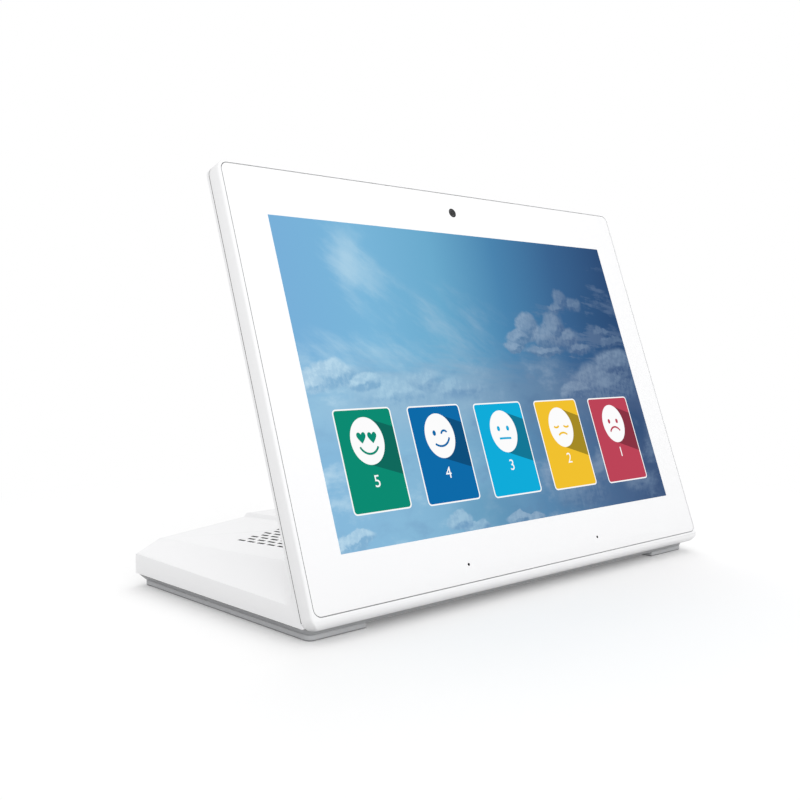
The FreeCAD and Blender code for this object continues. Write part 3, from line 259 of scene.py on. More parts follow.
def circuit(name):
    """A circuit board: tracks and copper fills under a green mask."""
    bench = Bench(name)
    cells = bench.node("TexVoronoi", {"distance": "MANHATTAN"}, {"Vector": bench.place(), "Scale": 260.0})
    tracks = bench.step(cells, 0.30, 0.36)
    return bench.feed({
        "Base Color": bench.blend(tracks, srgb(12, 92, 58), srgb(22, 122, 78)),
        "Roughness": 0.35,
        "Normal": bench.bump(tracks, 0.4, 0.00003),
        "Coat Weight": 0.4,
    })


def woven(name, colour):
    """A fine dust mesh: threads both ways, with dark gaps."""
    bench = Bench(name)
    place = bench.place()
    across = bench.node("TexWave", {"bands_direction": "X"}, {"Vector": place, "Scale": 620.0})
    along = bench.node("TexWave", {"bands_direction": "Y"}, {"Vector": place, "Scale": 620.0})
    threads = bench.sums("MAXIMUM", across, along)
    return bench.feed({
        "Base Color": bench.blend(threads, tint(colour, 0.35), colour),
        "Roughness": 0.8,
        "Normal": bench.bump(threads, 0.5, 0.0001),
    })


sheet_steel = brushed("sheet_steel", srgb(176, 178, 182), 0.38)
screw_steel = brushed("screw_steel", srgb(150, 152, 156), 0.32)
plated_shell = brushed("plated_shell", srgb(205, 206, 208), 0.22)
gold_plate = brushed("gold_plate", srgb(222, 178, 92), 0.25)
sink_metal = brushed("heat_sink_aluminium", srgb(196, 198, 202), 0.4)
board_green = circuit("board_green")
cable_film = moulded("cable_film", srgb(196, 152, 84), 0.4, 0.2)
pad_grey = moulded("thermal_pad_grey", srgb(150, 152, 158), 0.85, 0.5, waves=900.0)
dust_mesh = woven("dust_mesh", srgb(46, 47, 49))
print("inner finishes:", 9)

# %% [markdown]
# ## Tools for modelling
# Every operator acts on what is selected, so each step starts by deselecting everything. These few
# helpers do what the hand does most: pick one object, pick faces by a rule, bevel every edge, cut one
# shape out of another, and at the end lay an upright head piece back into the leaning head.

# %% Helpers for modelling
def mm(*values):
    """Millimetres to metres, for one value or several."""
    return values[0] * MM if len(values) == 1 else tuple(v * MM for v in values)


def deselect():
    """Deselects every object."""
    bpy.ops.object.select_all(action="DESELECT")


def alone(piece):
    """Deselects everything and makes one object the active one."""
    deselect()
    piece.select_set(True)
    bpy.context.view_layer.objects.active = piece
    return piece


def edit(piece, mode="FACE", whole=False):
    """Enters edit mode on one object, with nothing selected or with the whole of it."""
    alone(piece)
    bpy.ops.object.mode_set(mode="EDIT")
    bpy.ops.mesh.select_mode(type=mode)
    bpy.ops.mesh.select_all(action="SELECT" if whole else "DESELECT")


def pick(piece, kind, rule):
    """In edit mode: selects the faces, edges or vertices for which the rule is true."""
    bpy.ops.object.mode_set(mode="OBJECT")
    for item in getattr(piece.data, kind):
        item.select = rule(item)
    bpy.ops.object.mode_set(mode="EDIT")


def done():
    """Leaves edit mode."""
    bpy.ops.object.mode_set(mode="OBJECT")
    return bpy.context.object


def apply_place():
    """Moves the active object's place, turn and size into its mesh."""
    bpy.ops.object.transform_apply(location=True, rotation=True, scale=True)


def box_at(centre, size):
    """A box with its place and size in its mesh."""
    bpy.ops.mesh.primitive_cube_add(size=1, location=centre)
    bpy.context.object.scale = size
    apply_place()
    return bpy.context.object


def pipe_at(centre, radius, depth, turn=(0, 0, 0), sides=32):
    """A round bar, along Z unless it is turned."""
    bpy.ops.mesh.primitive_cylinder_add(vertices=sides, radius=radius, depth=depth, location=centre,
                                        rotation=turn)
    apply_place()
    return bpy.context.object


def modify(piece, kind, **settings):
    """Adds a modifier, sets it and applies it."""
    alone(piece)
    made = piece.modifiers.new(kind, kind)
    for key, value in settings.items():
        setattr(made, key, value)
    bpy.ops.object.modifier_apply(modifier=made.name)
    return piece


def soften_all(piece, width, segments):
    """Bevels every edge of a small piece."""
    edit(piece, "EDGE", whole=True)
    bpy.ops.mesh.bevel(offset=width, segments=segments)
    return done()


def cut_with(piece, cutter, **settings):
    """Cuts one shape out of another and deletes the cutter."""
    modify(piece, "BOOLEAN", operation="DIFFERENCE", object=cutter, solver="EXACT", **settings)
    bpy.data.objects.remove(cutter)
    return piece


def weld():
    """In edit mode: merges the doubles of the whole mesh, which a spin leaves where it starts and ends."""
    bpy.ops.mesh.select_all(action="SELECT")
    bpy.ops.mesh.remove_doubles(threshold=0.000001)


def joined(pieces, name):
    """Joins several objects into one."""
    alone(pieces[0])
    for piece in pieces:
        piece.select_set(True)
    if len(pieces) > 1:
        bpy.ops.object.join()
    pieces[0].name = name
    return pieces[0]


def leaned(piece):
    """Lays an upright head piece back into its place in the leaning head."""
    alone(piece)
    piece.matrix_world = LEANED @ piece.matrix_world
    apply_place()
    return piece


def paint(piece, *materials):
    """Gives a piece its materials, in order."""
    piece.data.materials.clear()
    for material in materials:
        piece.data.materials.append(material)
    return piece


def hand_in(piece, name, slot, *replaced, body="terminal", smooth=30):
    """Names a finished piece, shades it and tells the frame where it belongs."""
    alone(piece)
    piece.name = name
    bpy.ops.object.shade_smooth_by_angle(angle=math.radians(smooth))
    if replaced:
        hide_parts(*replaced)
    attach(piece, body)
    print(name, "has", len(piece.data.polygons), "faces")


print("helpers ready")

# %% [markdown]
# ## Carried-over nodes
# A solid whose shape is already right keeps its mesh and only takes a material. A loop over a short
# list pairs each finish with its nodes. The solids that are softened later are in it too, because
# their copies take over the material.

# %% Dress the nodes that stay
DRESS = [
    (board_green, ("main_board", "key_board", "io_board")),
    (sheet_steel, ("mid_plate", "shield_can", "support_bracket")),
    (screw_steel, ("mid_plate_screws", "main_board_screws", "housing_screws", "bracket_screws",
                   "io_board_screws", "pan_screws")),
    (black_plastic, ("camera_module", "microphone_left", "microphone_right", "speaker_left",
                     "speaker_right", "dc_jack", "audio_jack", "reset_button")),
    (dust_mesh, ("speaker_mesh_left", "speaker_mesh_right")),
    (black_rubber, ("mic_boot_left", "mic_boot_right", "glass_tape")),
    (foam, ("display_gasket", "camera_gasket", "speaker_gasket_left", "speaker_gasket_right")),
    (cable_film, ("camera_cable", "display_ribbon", "main_ribbon", "antenna_left", "antenna_right")),
    (pad_grey, ("thermal_pad", "touch_sensor")),
    (sink_metal, ("heat_sink", "display_panel")),
    (plated_shell, ("lan_port", "usb_port_left", "usb_port_right", "micro_usb_port")),
    (white_case, ("front_frame", "rear_housing", "cover_glass")),
    (white_keys, ("power_button", "volume_up_button", "volume_down_button")),
    (plug_rubber, ("screw_plugs",)),
    (pan_plastic, ("base_pan",)),
    (foot_rubber, ("foot_left", "foot_right")),
]
for material, names in DRESS:
    for name in names:
        paint(nodes[name], material)
dressed = sum(len(names) for material, names in DRESS)
print("dressed", dressed, "of", len(nodes), "nodes")

# %% [markdown]
# ## Soft edges on the mouldings
# No moulded edge is truly sharp, and it is the thin highlight along it that tells the eye so. The
# solids' meshes must stay as they are, so a copy is taken, its loose triangles are merged and
# flattened back into whole faces, and a Bevel modifier rounds what is left sharp. The copy then
# stands for the node. One edge has to get crisper first: where the skirt meets the sloping band, the
# real housing has a fold, so the copy's vertices are lifted from the solid's 2 mm round onto the band.
# Last, faces that lie deep in a gap are painted a dark grey, which is painted shade: the seam behind the
# frame, the gap beside the glass, the walls of the grilles' slots and the lowest edge of the feet.

# %% Copy a node and soften it
HOUSING_HALF = 127.1 * MM
LONG_ROUND = 2.0 * MM
BAND_SLOPE = 0.434
BASE_TOP = 40.0 * MM
ROUND_START = 0.39


def folded(piece):
    """Draws the long round over the skirt together into a fold, which the Bevel then rounds."""
    start = LONG_ROUND * (math.hypot(1, BAND_SLOPE) - BAND_SLOPE)
    for vertex in piece.data.vertices:
        rest = LONG_ROUND - HOUSING_HALF + abs(vertex.co.x)
        fall = start + BAND_SLOPE * (LONG_ROUND - rest) - math.sqrt(max(LONG_ROUND ** 2 - rest ** 2, 0))
        level = math.hypot(vertex.normal.y, vertex.normal.z)
        in_base = rest > LONG_ROUND * ROUND_START and vertex.co.z < BASE_TOP
        if in_base and vertex.normal.z > 0 and level > 0:
            vertex.co.z += fall * vertex.normal.z / level


def copied(node, width, segments=2, angle=35, reshaped=None):
    """A merged copy of a node with its sharp edges rounded."""
    piece = bpy.data.objects.new(node + "_copy", nodes[node].data.copy())
    bpy.context.scene.collection.objects.link(piece)
    edit(piece, "VERT", whole=True)
    bpy.ops.mesh.remove_doubles(threshold=0.00001)
    bpy.ops.mesh.dissolve_limited(angle_limit=math.radians(1))
    done()
    if reshaped:
        reshaped(piece)
    return modify(piece, "BEVEL", width=width, segments=segments, limit_method="ANGLE",
                  angle_limit=math.radians(angle))


print("a fold drawn together over", round(LONG_ROUND / MM, 1), "mm")

# %% Find the faces in a gap
FRAME_BACK = 6.83 * MM
HOUSING_FRONT = 7.08 * MM
EDGE_ROUND = 0.14 * MM
GLASS_CORNER = 3.2 * MM
RIM_REACH = 0.5 * MM
SEAM_LOW = -0.7 * MM
CONTACT_SHADE_TOP = 0.62 * MM
GRILLE_IN, GRILLE_OUT, GRILLE_FRONT, GRILLE_REAR, GRILLE_LOW = mm(70, 103, -30, 22, 15)
UPRIGHT = LEANED.inverted()


def in_seam(face, corners):
    """Whether a face lies in the seam between frame and housing, above the chin's rounded end."""
    return all(FRAME_BACK - EDGE_ROUND < flat.y < HOUSING_FRONT + EDGE_ROUND
               and flat.z > SEAM_LOW - EDGE_ROUND
               for flat in [UPRIGHT @ corner for corner in corners])


def beside_glass(face, corners):
    """Whether a face lies in the narrow gap round the glass."""
    for flat in [UPRIGHT @ corner for corner in corners]:
        across = max(abs(flat.x) - GLASS_W / 2 + GLASS_CORNER, 0)
        along = max(abs(flat.z - GLASS_H / 2) - GLASS_H / 2 + GLASS_CORNER, 0)
        beyond = math.hypot(across, along) - GLASS_CORNER
        if not (0 < beyond < RIM_REACH and EDGE_ROUND / 2 < flat.y < GLASS_T + RIM_REACH):
            return False
    return True


def by_floor(face, corners):
    """Whether a face lies on the lowest edge of a foot, where the contact shadow is painted."""
    return all(corner.z < CONTACT_SHADE_TOP for corner in corners)


def slot_wall(face, corners):
    """Whether a face is a wall of one of the speaker grilles' slots."""
    return abs(face.normal.z) < 0.3 and all(
        GRILLE_IN < abs(corner.x) < GRILLE_OUT
        and GRILLE_FRONT < corner.y < GRILLE_REAR
        and corner.z > GRILLE_LOW
        for corner in corners)


def darkened(piece, finish, *rules):
    """Paints the faces that a rule holds for with a dark material: painted shade, so that a thin gap reads
    as a line.
    """
    if in_seam in rules:
        edit(piece, whole=True)
        bpy.ops.mesh.bisect(plane_co=LEANED @ Vector((0, 0, SEAM_LOW)),
                            plane_no=LEANED.to_3x3() @ Vector((0, 0, 1)))
        done()
    piece.data.materials.append(finish)
    for face in piece.data.polygons:
        corners = [piece.data.vertices[v].co for v in face.vertices]
        if any(rule(face, corners) for rule in rules):
            face.material_index = 1


print("rules for the seam, the glass gap, the feet and the slots")

# %% Soften the mouldings
# The last column holds a dark material and its rules: painted shade in the seams, the glass gap, the slot
# walls and along the feet's contact with the floor.
MOULDINGS = (
    ("front_frame", 0.2, "white_gloss", 30, (seam_shadow, in_seam, beside_glass)),
    ("rear_housing", 0.25, "white_gloss", 18, (seam_shadow, in_seam, slot_wall)),
    ("base_pan", 0.4, "white_matte", 30, ()),
    ("foot_left", 0.6, "foot_rubber", 30, (sole_rubber, by_floor)),
    ("foot_right", 0.6, "foot_rubber", 30, (sole_rubber, by_floor)),
    ("screw_plugs", 0.3, "white_rubber", 30, ()),
)
for node, width, slot, smooth, dark in MOULDINGS:
    softened = copied(node, width * MM, reshaped=folded if node == "rear_housing" else None)
    if dark:
        darkened(softened, *dark)
    hand_in(softened, node + "_moulding", slot, node, smooth=smooth)

# %% [markdown]
# ## The cover glass
# The front is one sheet of glass, printed white from behind around the picture. Its rim is ground to a
# small round, which catches a thin line of light. It starts as a box: the four corner edges are
# bevelled wide, the front rim narrow, and then round bars cut the two sound holes and the camera's
# window. The bars are black, so the walls of the holes come out black: painted shade for the dark inside of
# each hole.

# %% Printed glass and black
def printed_glass():
    """White print seen through polished glass: even, very smooth, with the faintest waviness."""
    bench = Bench("printed_glass")
    waves = bench.noise(14.0, 2.0)
    return bench.feed({
        "Base Color": bench.blend(waves, tint(WHITE, 1.0), tint(WHITE, 1.012)),
        "Roughness": 0.07 + bench.noise(220.0, 2.0) * 0.03,
        "Normal": bench.bump(waves, 0.02, 0.0002),
        "Coat Weight": 0.3,
        "Coat Roughness": 0.03,
    })


def dark_gloss(name, colour, roughness):
    """Black glass or lacquer with a trace of dust in its sheen."""
    bench = Bench(name)
    dust = bench.noise(3000.0, 2.0)
    return bench.feed({
        "Base Color": bench.blend(dust, tint(colour, 0.9), tint(colour, 1.15)),
        "Roughness": roughness + dust * 0.06,
    })


glass_white = printed_glass()
# painted shade: black walls stand for the dark inside of the sound holes and the camera's window.
hole_black = dark_gloss("hole_black", srgb(12, 12, 13), 0.5)
# The grey of the glass's edge is partly the tint of ground glass and partly painted shade for the gap round
# it.
ground_edge = dark_gloss("ground_edge", srgb(120, 124, 124), 0.5)
lens_black = dark_gloss("lens_black", srgb(14, 14, 16), 0.12)
lens_ring = dark_gloss("lens_ring", srgb(92, 94, 98), 0.35)
print("finishes of the glass and the camera:", 5)

# %% Glass sheet
RIM_GRIND = 0.3 * MM
MIC_X = 43.9 * MM
MIC_UP = 7.3 * MM
MIC_R = 0.62 * MM
CAMERA_SPOT = Vector((0.4 * MM, 0, 168.9 * MM))
CAMERA_R = 2.25 * MM
CAMERA_DEEP = 0.5 * MM
QUARTER = math.pi / 2
FACING = (QUARTER, 0, 0)


def glass_sheet():
    """The rounded, ground and pierced sheet, still upright."""
    sheet = box_at((0, GLASS_T / 2, GLASS_H / 2), (GLASS_W, GLASS_T, GLASS_H))
    corners = sheet.data.vertices
    edit(sheet, "EDGE")
    pick(sheet, "edges", lambda e: (corners[e.vertices[0]].co - corners[e.vertices[1]].co).xz.length < MM)
    bpy.ops.mesh.bevel(offset=GLASS_CORNER, segments=10)
    pick(sheet, "edges", lambda e: all(sheet.data.vertices[v].co.y < 0.1 * MM for v in e.vertices))
    bpy.ops.mesh.bevel(offset=RIM_GRIND, segments=3)
    done()
    # The edge faces take a grey that is partly the real tint of ground glass and partly painted shade, so
    # the gap round the glass reads as a dark line.
    paint(sheet, glass_white, ground_edge)
    for face in sheet.data.polygons:
        face.material_index = int(abs(face.normal.y) < 0.3)
    for spot, radius, depth, sides in (((-MIC_X, GLASS_T / 2, MIC_UP), MIC_R, 2 * GLASS_T, 24),
                                       ((MIC_X, GLASS_T / 2, MIC_UP), MIC_R, 2 * GLASS_T, 24),
                                       (CAMERA_SPOT, CAMERA_R, 2 * CAMERA_DEEP, 48)):
        bar = paint(pipe_at(spot, radius, depth, FACING, sides), hole_black)
        cut_with(sheet, bar, material_mode="TRANSFER")
    return sheet


glass = leaned(glass_sheet())
hand_in(glass, "printed_cover_glass", "glass_front", "cover_glass", smooth=25)

# %% [markdown]
# ## The camera's window
# A black disc fills the window. Behind it lie the steps of the lens barrel: a wide dark ledge, a thin
# lighter ring and the small domed front lens. The steps could be stacked discs, but one disc whose front
# face is inset and moved back, again and again, has no hidden walls that touch. The lens is a flattened
# sphere.

# %% Camera window
def stepped_disc(radius, steps):
    """A disc whose front face is inset and moved along Y, step by step: (inset, move) in mm."""
    disc = pipe_at(CAMERA_SPOT + Vector((0, CAMERA_DEEP / 2, 0)), radius, CAMERA_DEEP, FACING, 48)
    edit(disc)
    pick(disc, "polygons", lambda f: f.normal.y < -0.9)
    for inset, move in steps:
        bpy.ops.mesh.inset(thickness=inset * MM)
        bpy.ops.mesh.extrude_region_move(TRANSFORM_OT_translate={"value": (0, move * MM, 0)})
    return done()


RING_IN, RING_OUT, LENS_R, LENS_SUNK, PLAY = mm(1.18, 1.50, 0.92, 0.3, 0.03)
barrel = stepped_disc(CAMERA_R - PLAY, ((0.12, 0.06), (0.62, 0.12), (0.22, 0.10), (0.34, 0.05)))
paint(barrel, lens_black, lens_ring)
for face in barrel.data.polygons:
    reach = (face.center - CAMERA_SPOT).xz.length
    face.material_index = int(RING_IN < reach < RING_OUT and face.normal.y < -0.9)
deselect()
bpy.ops.mesh.primitive_uv_sphere_add(segments=32, ring_count=16, radius=LENS_R,
                                     location=CAMERA_SPOT + Vector((0, LENS_SUNK, 0)))
front_lens = bpy.context.object
front_lens.scale = (1, 0.25, 1)
apply_place()
paint(front_lens, lens_black)
camera_window = leaned(joined([barrel, front_lens], "camera_window"))
hand_in(camera_window, "camera_window", "black_plastic")

# %% [markdown]
# ## The lit picture
# The screen shows a sky. It is painted from noise, which stays crisp however close the viewer comes: a
# base that deepens from pale blue on the left to navy on the right, wisps, a band of haze and heaped
# clouds. The Mapping node turns the leaning glass back upright and counts in millimetres, so that every
# brush stroke can be given by its place. A heaped cloud is a few ellipses seen through ruffled coordinates:
# noise pushes each place about, which turns the smooth outlines into billows. It is shaded by measuring
# the same ellipses again a step towards the light: where they thin out on that side, the cloud is lit.

# %% Screen light and the sky
def screen(bench, colour):
    """A lit screen under low-glare glass: the colour glows, with the fine grid of its pixels."""
    place = bench.node("SeparateXYZ", {}, {"Vector": bench.place()})
    columns = bench.sums("SINE", place * (2 * math.pi / PIXEL), 0.0)
    grid = bench.blend(0.5 + columns * 0.5, (0.985, 0.985, 0.99), (1.0, 1.0, 1.0))
    glow = bench.node("Mix", {"data_type": "RGBA", "blend_type": "MULTIPLY"},
                      {"Factor": 1.0, 6: colour, 7: grid})
    return bench.feed({"Base Color": (0.0, 0.0, 0.0), "Roughness": 0.12, "Specular IOR Level": 0.03,
                       "Emission Color": glow, "Emission Strength": 1.0})


class Sky(Bench):
    """A bench whose strokes are placed in millimetres on the glass."""

    def __init__(self, name):
        super().__init__(name)
        self.spot = self.node("Mapping", {"vector_type": "TEXTURE"},
                              {"Vector": self.place(), "Location": tuple(head_origin),
                               "Rotation": (-LEAN, 0, 0), "Scale": (MM, MM, MM)})
        split = self.node("SeparateXYZ", {}, {"Vector": self.spot})
        self.x = split
        self.up = split.other("Z")

    def vectors(self, operation, first, second):
        """A Vector Math node on two vectors."""
        return self.node("VectorMath", {"operation": operation}, {0: first, 1: second})

    def fractal(self, scale, detail, shift=(0, 0, 0), turn=0.0, squeeze=1.0, roughness=0.6):
        """Layered noise over the glass, optionally shifted, turned and stretched into fibres."""
        moved = self.node("Mapping", {"vector_type": "TEXTURE"},
                          {"Vector": self.spot, "Location": shift, "Rotation": (0, turn, 0),
                           "Scale": (1, 1, squeeze)})
        return self.noise(scale, detail, moved, roughness)

    def ruffled(self, scale, reach):
        """The place on the glass pushed about by noise, up to half this reach each way."""
        push = self.noise(scale, 7.0, self.spot, 0.58).other("Color")
        centred = self.vectors("SUBTRACT", push, (0.5, 0.5, 0.5))
        return self.vectors("ADD", self.spot, self.vectors("MULTIPLY", centred, (reach, 0, reach)))

    def ellipses(self, spot, shapes):
        """1 in the middle of the nearest ellipse (x, up, half width, half height), 0 on its rim."""
        union = None
        for x, up, wide, high in shapes:
            centred = self.vectors("SUBTRACT", spot, (x, 0, up))
            sized = self.vectors("MULTIPLY", centred, (1 / wide, 0, 1 / high))
            inside = 1 - self.node("VectorMath", {"operation": "LENGTH"}, {0: sized}).other("Value")
            union = self.sums("MAXIMUM", union, inside) if union else inside
        return union

    def heap(self, shapes, spot, edge, light=(1.3, 0, -1.9)):
        """A heaped cloud: how much it covers, and how far it is lit."""
        here = self.ellipses(spot, shapes)
        lightward = self.ellipses(self.vectors("SUBTRACT", spot, light), shapes)
        return self.step(here, 0.0, edge), self.step(here - lightward, -0.12, 0.20)


print("screen and sky tools ready")

# %% Colours of the open sky, its haze, lit clouds and shaded clouds
SKY_RAMPS = (
    ((120, 176, 217), (121, 182, 218), (106, 170, 205), (72, 131, 174), (53, 98, 143), (36, 72, 116)),
    ((150, 196, 224), (152, 190, 215), (140, 176, 203), (104, 139, 172), (92, 117, 150), (76, 96, 130)),
    ((196, 224, 240), (176, 212, 232), (154, 190, 214), (142, 168, 194), (128, 150, 176), (116, 140, 168)),
    ((134, 180, 213), (124, 170, 204), (108, 150, 188), (90, 126, 162), (78, 106, 144), (60, 88, 128)),
)


def across_ramp(sky, colours):
    """A colour that changes evenly from the left of the picture to its right."""
    stops = [(index / (len(colours) - 1), srgb(*colour)) for index, colour in enumerate(colours)]
    return sky.node("ValToRGB", {"stops": stops}, {"Fac": (sky.x + 108) / 217 + (158 - sky.up) * 0.0003})


print("ramps across the sky:", len(SKY_RAMPS))

# %% The clouds' shapes and the painted sky
SIDE_BANK = [(84, 82, 30, 14), (98, 92, 22, 9), (60, 79, 18, 6)]
LEFT_PUFF = [(33, 112, 9, 9), (26, 107, 12, 5), (21, 103, 9, 4)]
MAIN_PUFF = [(54, 112, 10, 10), (46, 107, 14, 7), (60, 106, 15, 7), (69, 101, 12, 4), (42, 100, 18, 4)]
HIGH_PUFF = [(64, 127, 7, 6), (73, 125, 10, 4.5), (60, 123, 8, 3.5)]
EDGE_PUFF = [(96, 104, 9, 4), (104, 106, 6, 3), (92, 110, 8, 3)]
LEFT_BANK = [(-62, 82, 30, 9), (-24, 82, 26, 8), (-44, 88, 16, 6)]
LEFT_HEAP = [(-92, 91, 13, 7), (-104, 88, 9, 5), (-78, 87, 12, 5)]
FOOT_PUFFS = [(-99, 25, 11, 4), (-108, 22, 6, 4), (-42, 25, 9, 5), (-34, 22, 9, 4), (-6, 22, 10, 3.5),
              (4, 21, 8, 3)]
FOOT_BANK = [(42, 30, 26, 12), (28, 40, 12, 8), (60, 38, 12, 8), (90, 30, 18, 8)]


def painted_sky():
    """The whole picture, from the far sky to the nearest clouds."""
    sky = Sky("painted_sky")
    base, haze, bright, shade = [across_ramp(sky, colours) for colours in SKY_RAMPS]
    fibres = sky.fractal(0.022, 8.0, turn=0.12, squeeze=0.16, roughness=0.68)
    slanted = sky.fractal(0.026, 8.0, turn=0.6, squeeze=0.3, roughness=0.62)
    fine = sky.fractal(0.05, 9.0, roughness=0.66)

    sunk = sky.step(sky.x, 30.0, 90.0) * 12
    thinned = 1 - sky.step(sky.up, 78.0, 56.0) * 0.5
    band = sky.step(sky.up + (fibres - 0.5) * 46 + sunk, 106.0, 80.0) * thinned
    hazed = sky.blend(band * 0.9, base, haze)
    lower = sky.step(sky.up, 108.0, 84.0)
    mottle = sky.fractal(0.034, 8.0, squeeze=0.55, roughness=0.62)
    mottled = sky.blend(lower * sky.step(mottle, 0.50, 0.70) * 0.7, hazed, bright)
    mottled = sky.blend(lower * sky.step(mottle, 0.50, 0.30) * 0.7, mottled, shade)
    lit_high = sky.ellipses(sky.spot, [(-71, 138, 17, 24), (-58, 130, 18, 10), (-24, 112, 44, 20),
                                       (-60, 100, 48, 12)])
    wisps = sky.step(slanted + lit_high * 0.16, 0.47, 0.86) * sky.step(lit_high, -0.5, 0.6)
    wispy = sky.blend(wisps * 0.72, mottled, bright)
    core = sky.ellipses(sky.ruffled(0.06, 22.0), [(-71, 143, 10, 15), (-66, 134, 14, 9)])
    cored = sky.blend(sky.step(core, -0.25, 0.9) * 0.5, wispy, bright)

    ragged = sky.ellipses(sky.spot, [(72, 106, 48, 20), (98, 128, 22, 22), (60, 90, 60, 10)])
    torn = fibres + (fine - 0.5) * 0.6 + ragged * 0.06
    streaks = sky.step(torn, 0.52, 0.64) * sky.step(ragged, -0.3, 0.4)
    gloom = sky.ellipses(sky.spot, [(-24, 27, 30, 16), (92, 118, 26, 24), (96, 60, 18, 14)])
    deep = sky.blend(0.35, base, (0.01, 0.06, 0.16))
    dimmed = sky.blend(sky.step(gloom, 0.0, 0.7) * 0.5, cored, deep)
    picture = sky.blend(streaks * 0.7, dimmed, sky.blend(0.3, shade, bright))

    billows = sky.ruffled(0.10, 9.0)
    shifted = sky.fractal(0.05, 9.0, shift=(1.0, 0, -1.3), roughness=0.66)
    relief = sky.step(fine - shifted, -0.05, 0.06)
    for shapes, spot, edge, strength in (
            (SIDE_BANK, sky.ruffled(0.05, 10.0), 0.30, 0.95), (LEFT_PUFF, billows, 0.28, 0.85),
            (MAIN_PUFF, billows, 0.40, 0.8), (HIGH_PUFF, billows, 0.45, 0.6),
            (EDGE_PUFF, billows, 0.5, 0.55), (LEFT_BANK, sky.ruffled(0.05, 12.0), 0.70, 0.75),
            (LEFT_HEAP, billows, 0.28, 0.9), (FOOT_PUFFS, billows, 0.22, 0.85),
            (FOOT_BANK, sky.ruffled(0.07, 10.0), 0.5, 0.5)):
        cover, lit = sky.heap(shapes, spot, edge)
        colour = sky.blend(lit * 0.6 + relief * 0.4, shade, bright)
        picture = sky.blend(cover * strength, picture, colour)
    return screen(sky, picture)


PIXEL = 0.17 * MM
PICTURE_W = 217.0 * MM
PICTURE_LOW = 20.6 * MM
PICTURE_HIGH = 157.8 * MM
PICTURE_X = 0.4 * MM
FILM = 0.03 * MM
picture_sky = painted_sky()
print("picture", round(PICTURE_W / MM), "x", round((PICTURE_HIGH - PICTURE_LOW) / MM), "mm")

# %% The picture's plate
def film(piece, front):
    """Turns a flat upright shape into a thin closed film whose front stands this far before the glass."""
    alone(piece)
    piece.location.y = -front
    apply_place()
    modify(piece, "SOLIDIFY", thickness=FILM, offset=-1.0)
    edit(piece, whole=True)
    bpy.ops.mesh.normals_make_consistent(inside=False)
    return done()


def flat_box(x0, x1, low, high):
    """A flat upright rectangle, facing the viewer."""
    deselect()
    bpy.ops.mesh.primitive_plane_add(size=1, location=((x0 + x1) / 2, 0, (low + high) / 2), rotation=FACING)
    bpy.context.object.scale = (x1 - x0, high - low, 1)
    apply_place()
    return bpy.context.object


sheet = flat_box(PICTURE_X - PICTURE_W / 2, PICTURE_X + PICTURE_W / 2, PICTURE_LOW, PICTURE_HIGH)
film(sheet, FILM)
paint(leaned(sheet), picture_sky)
hand_in(sheet, "display_picture", "display")

# %% [markdown]
# ## Five cards on the picture
# Each card is a rounded rectangle with a thin white border, a round face and the long slanted shadow
# that the face throws on the card. They are films, each lying a hair's breadth on the one below, so
# every outline stays crisp from any distance. A card starts as a plane: its corners are bevelled and
# the border comes from an inset. The shadow is a second plane, cut by two slanted planes and by an
# upright one through the middle of the face.

# %% Card shapes
LAYER = 0.02 * MM
CARD_CORNER, CARD_BORDER = mm(1.9, 0.62)
SHADOW_TILT = math.radians(-18)


def ink(name, *rgb):
    """One flat ink of the screen."""
    return screen(Bench(name), srgb(*rgb))


def card_plate(x0, x1, low, high, colour):
    """The rounded plate with its inset border: material 0 is the border and 1 the ink."""
    plate = flat_box(x0, x1, low, high)
    edit(plate, "VERT", whole=True)
    bpy.ops.mesh.bevel(offset=CARD_CORNER, segments=6, affect="VERTICES")
    done()
    paint(plate, card_white, colour)
    edit(plate, whole=True)
    bpy.ops.mesh.inset(thickness=CARD_BORDER)
    plate.active_material_index = 1
    bpy.ops.object.material_slot_assign()
    return done()


def cut_band(piece, centre, tilt, half):
    """Keeps the band of a flat shape between two slanted lines, to the right of its centre."""
    normal = Vector((-math.sin(tilt), 0, math.cos(tilt)))
    for side in (-1, 1):
        edit(piece, whole=True)
        bpy.ops.mesh.bisect(plane_co=centre + normal * half * side, plane_no=normal * side,
                            clear_outer=True)
        done()
    edit(piece, whole=True)
    bpy.ops.mesh.bisect(plane_co=centre, plane_no=(1, 0, 0), clear_inner=True)
    return done()


def oval(x, up, wide, high, sides=48):
    """A flat ellipse, facing the viewer."""
    deselect()
    bpy.ops.mesh.primitive_circle_add(vertices=sides, radius=1, fill_type="NGON", location=(x, 0, up),
                                      rotation=FACING)
    bpy.context.object.scale = (wide / 2, high / 2, 1)
    apply_place()
    return bpy.context.object


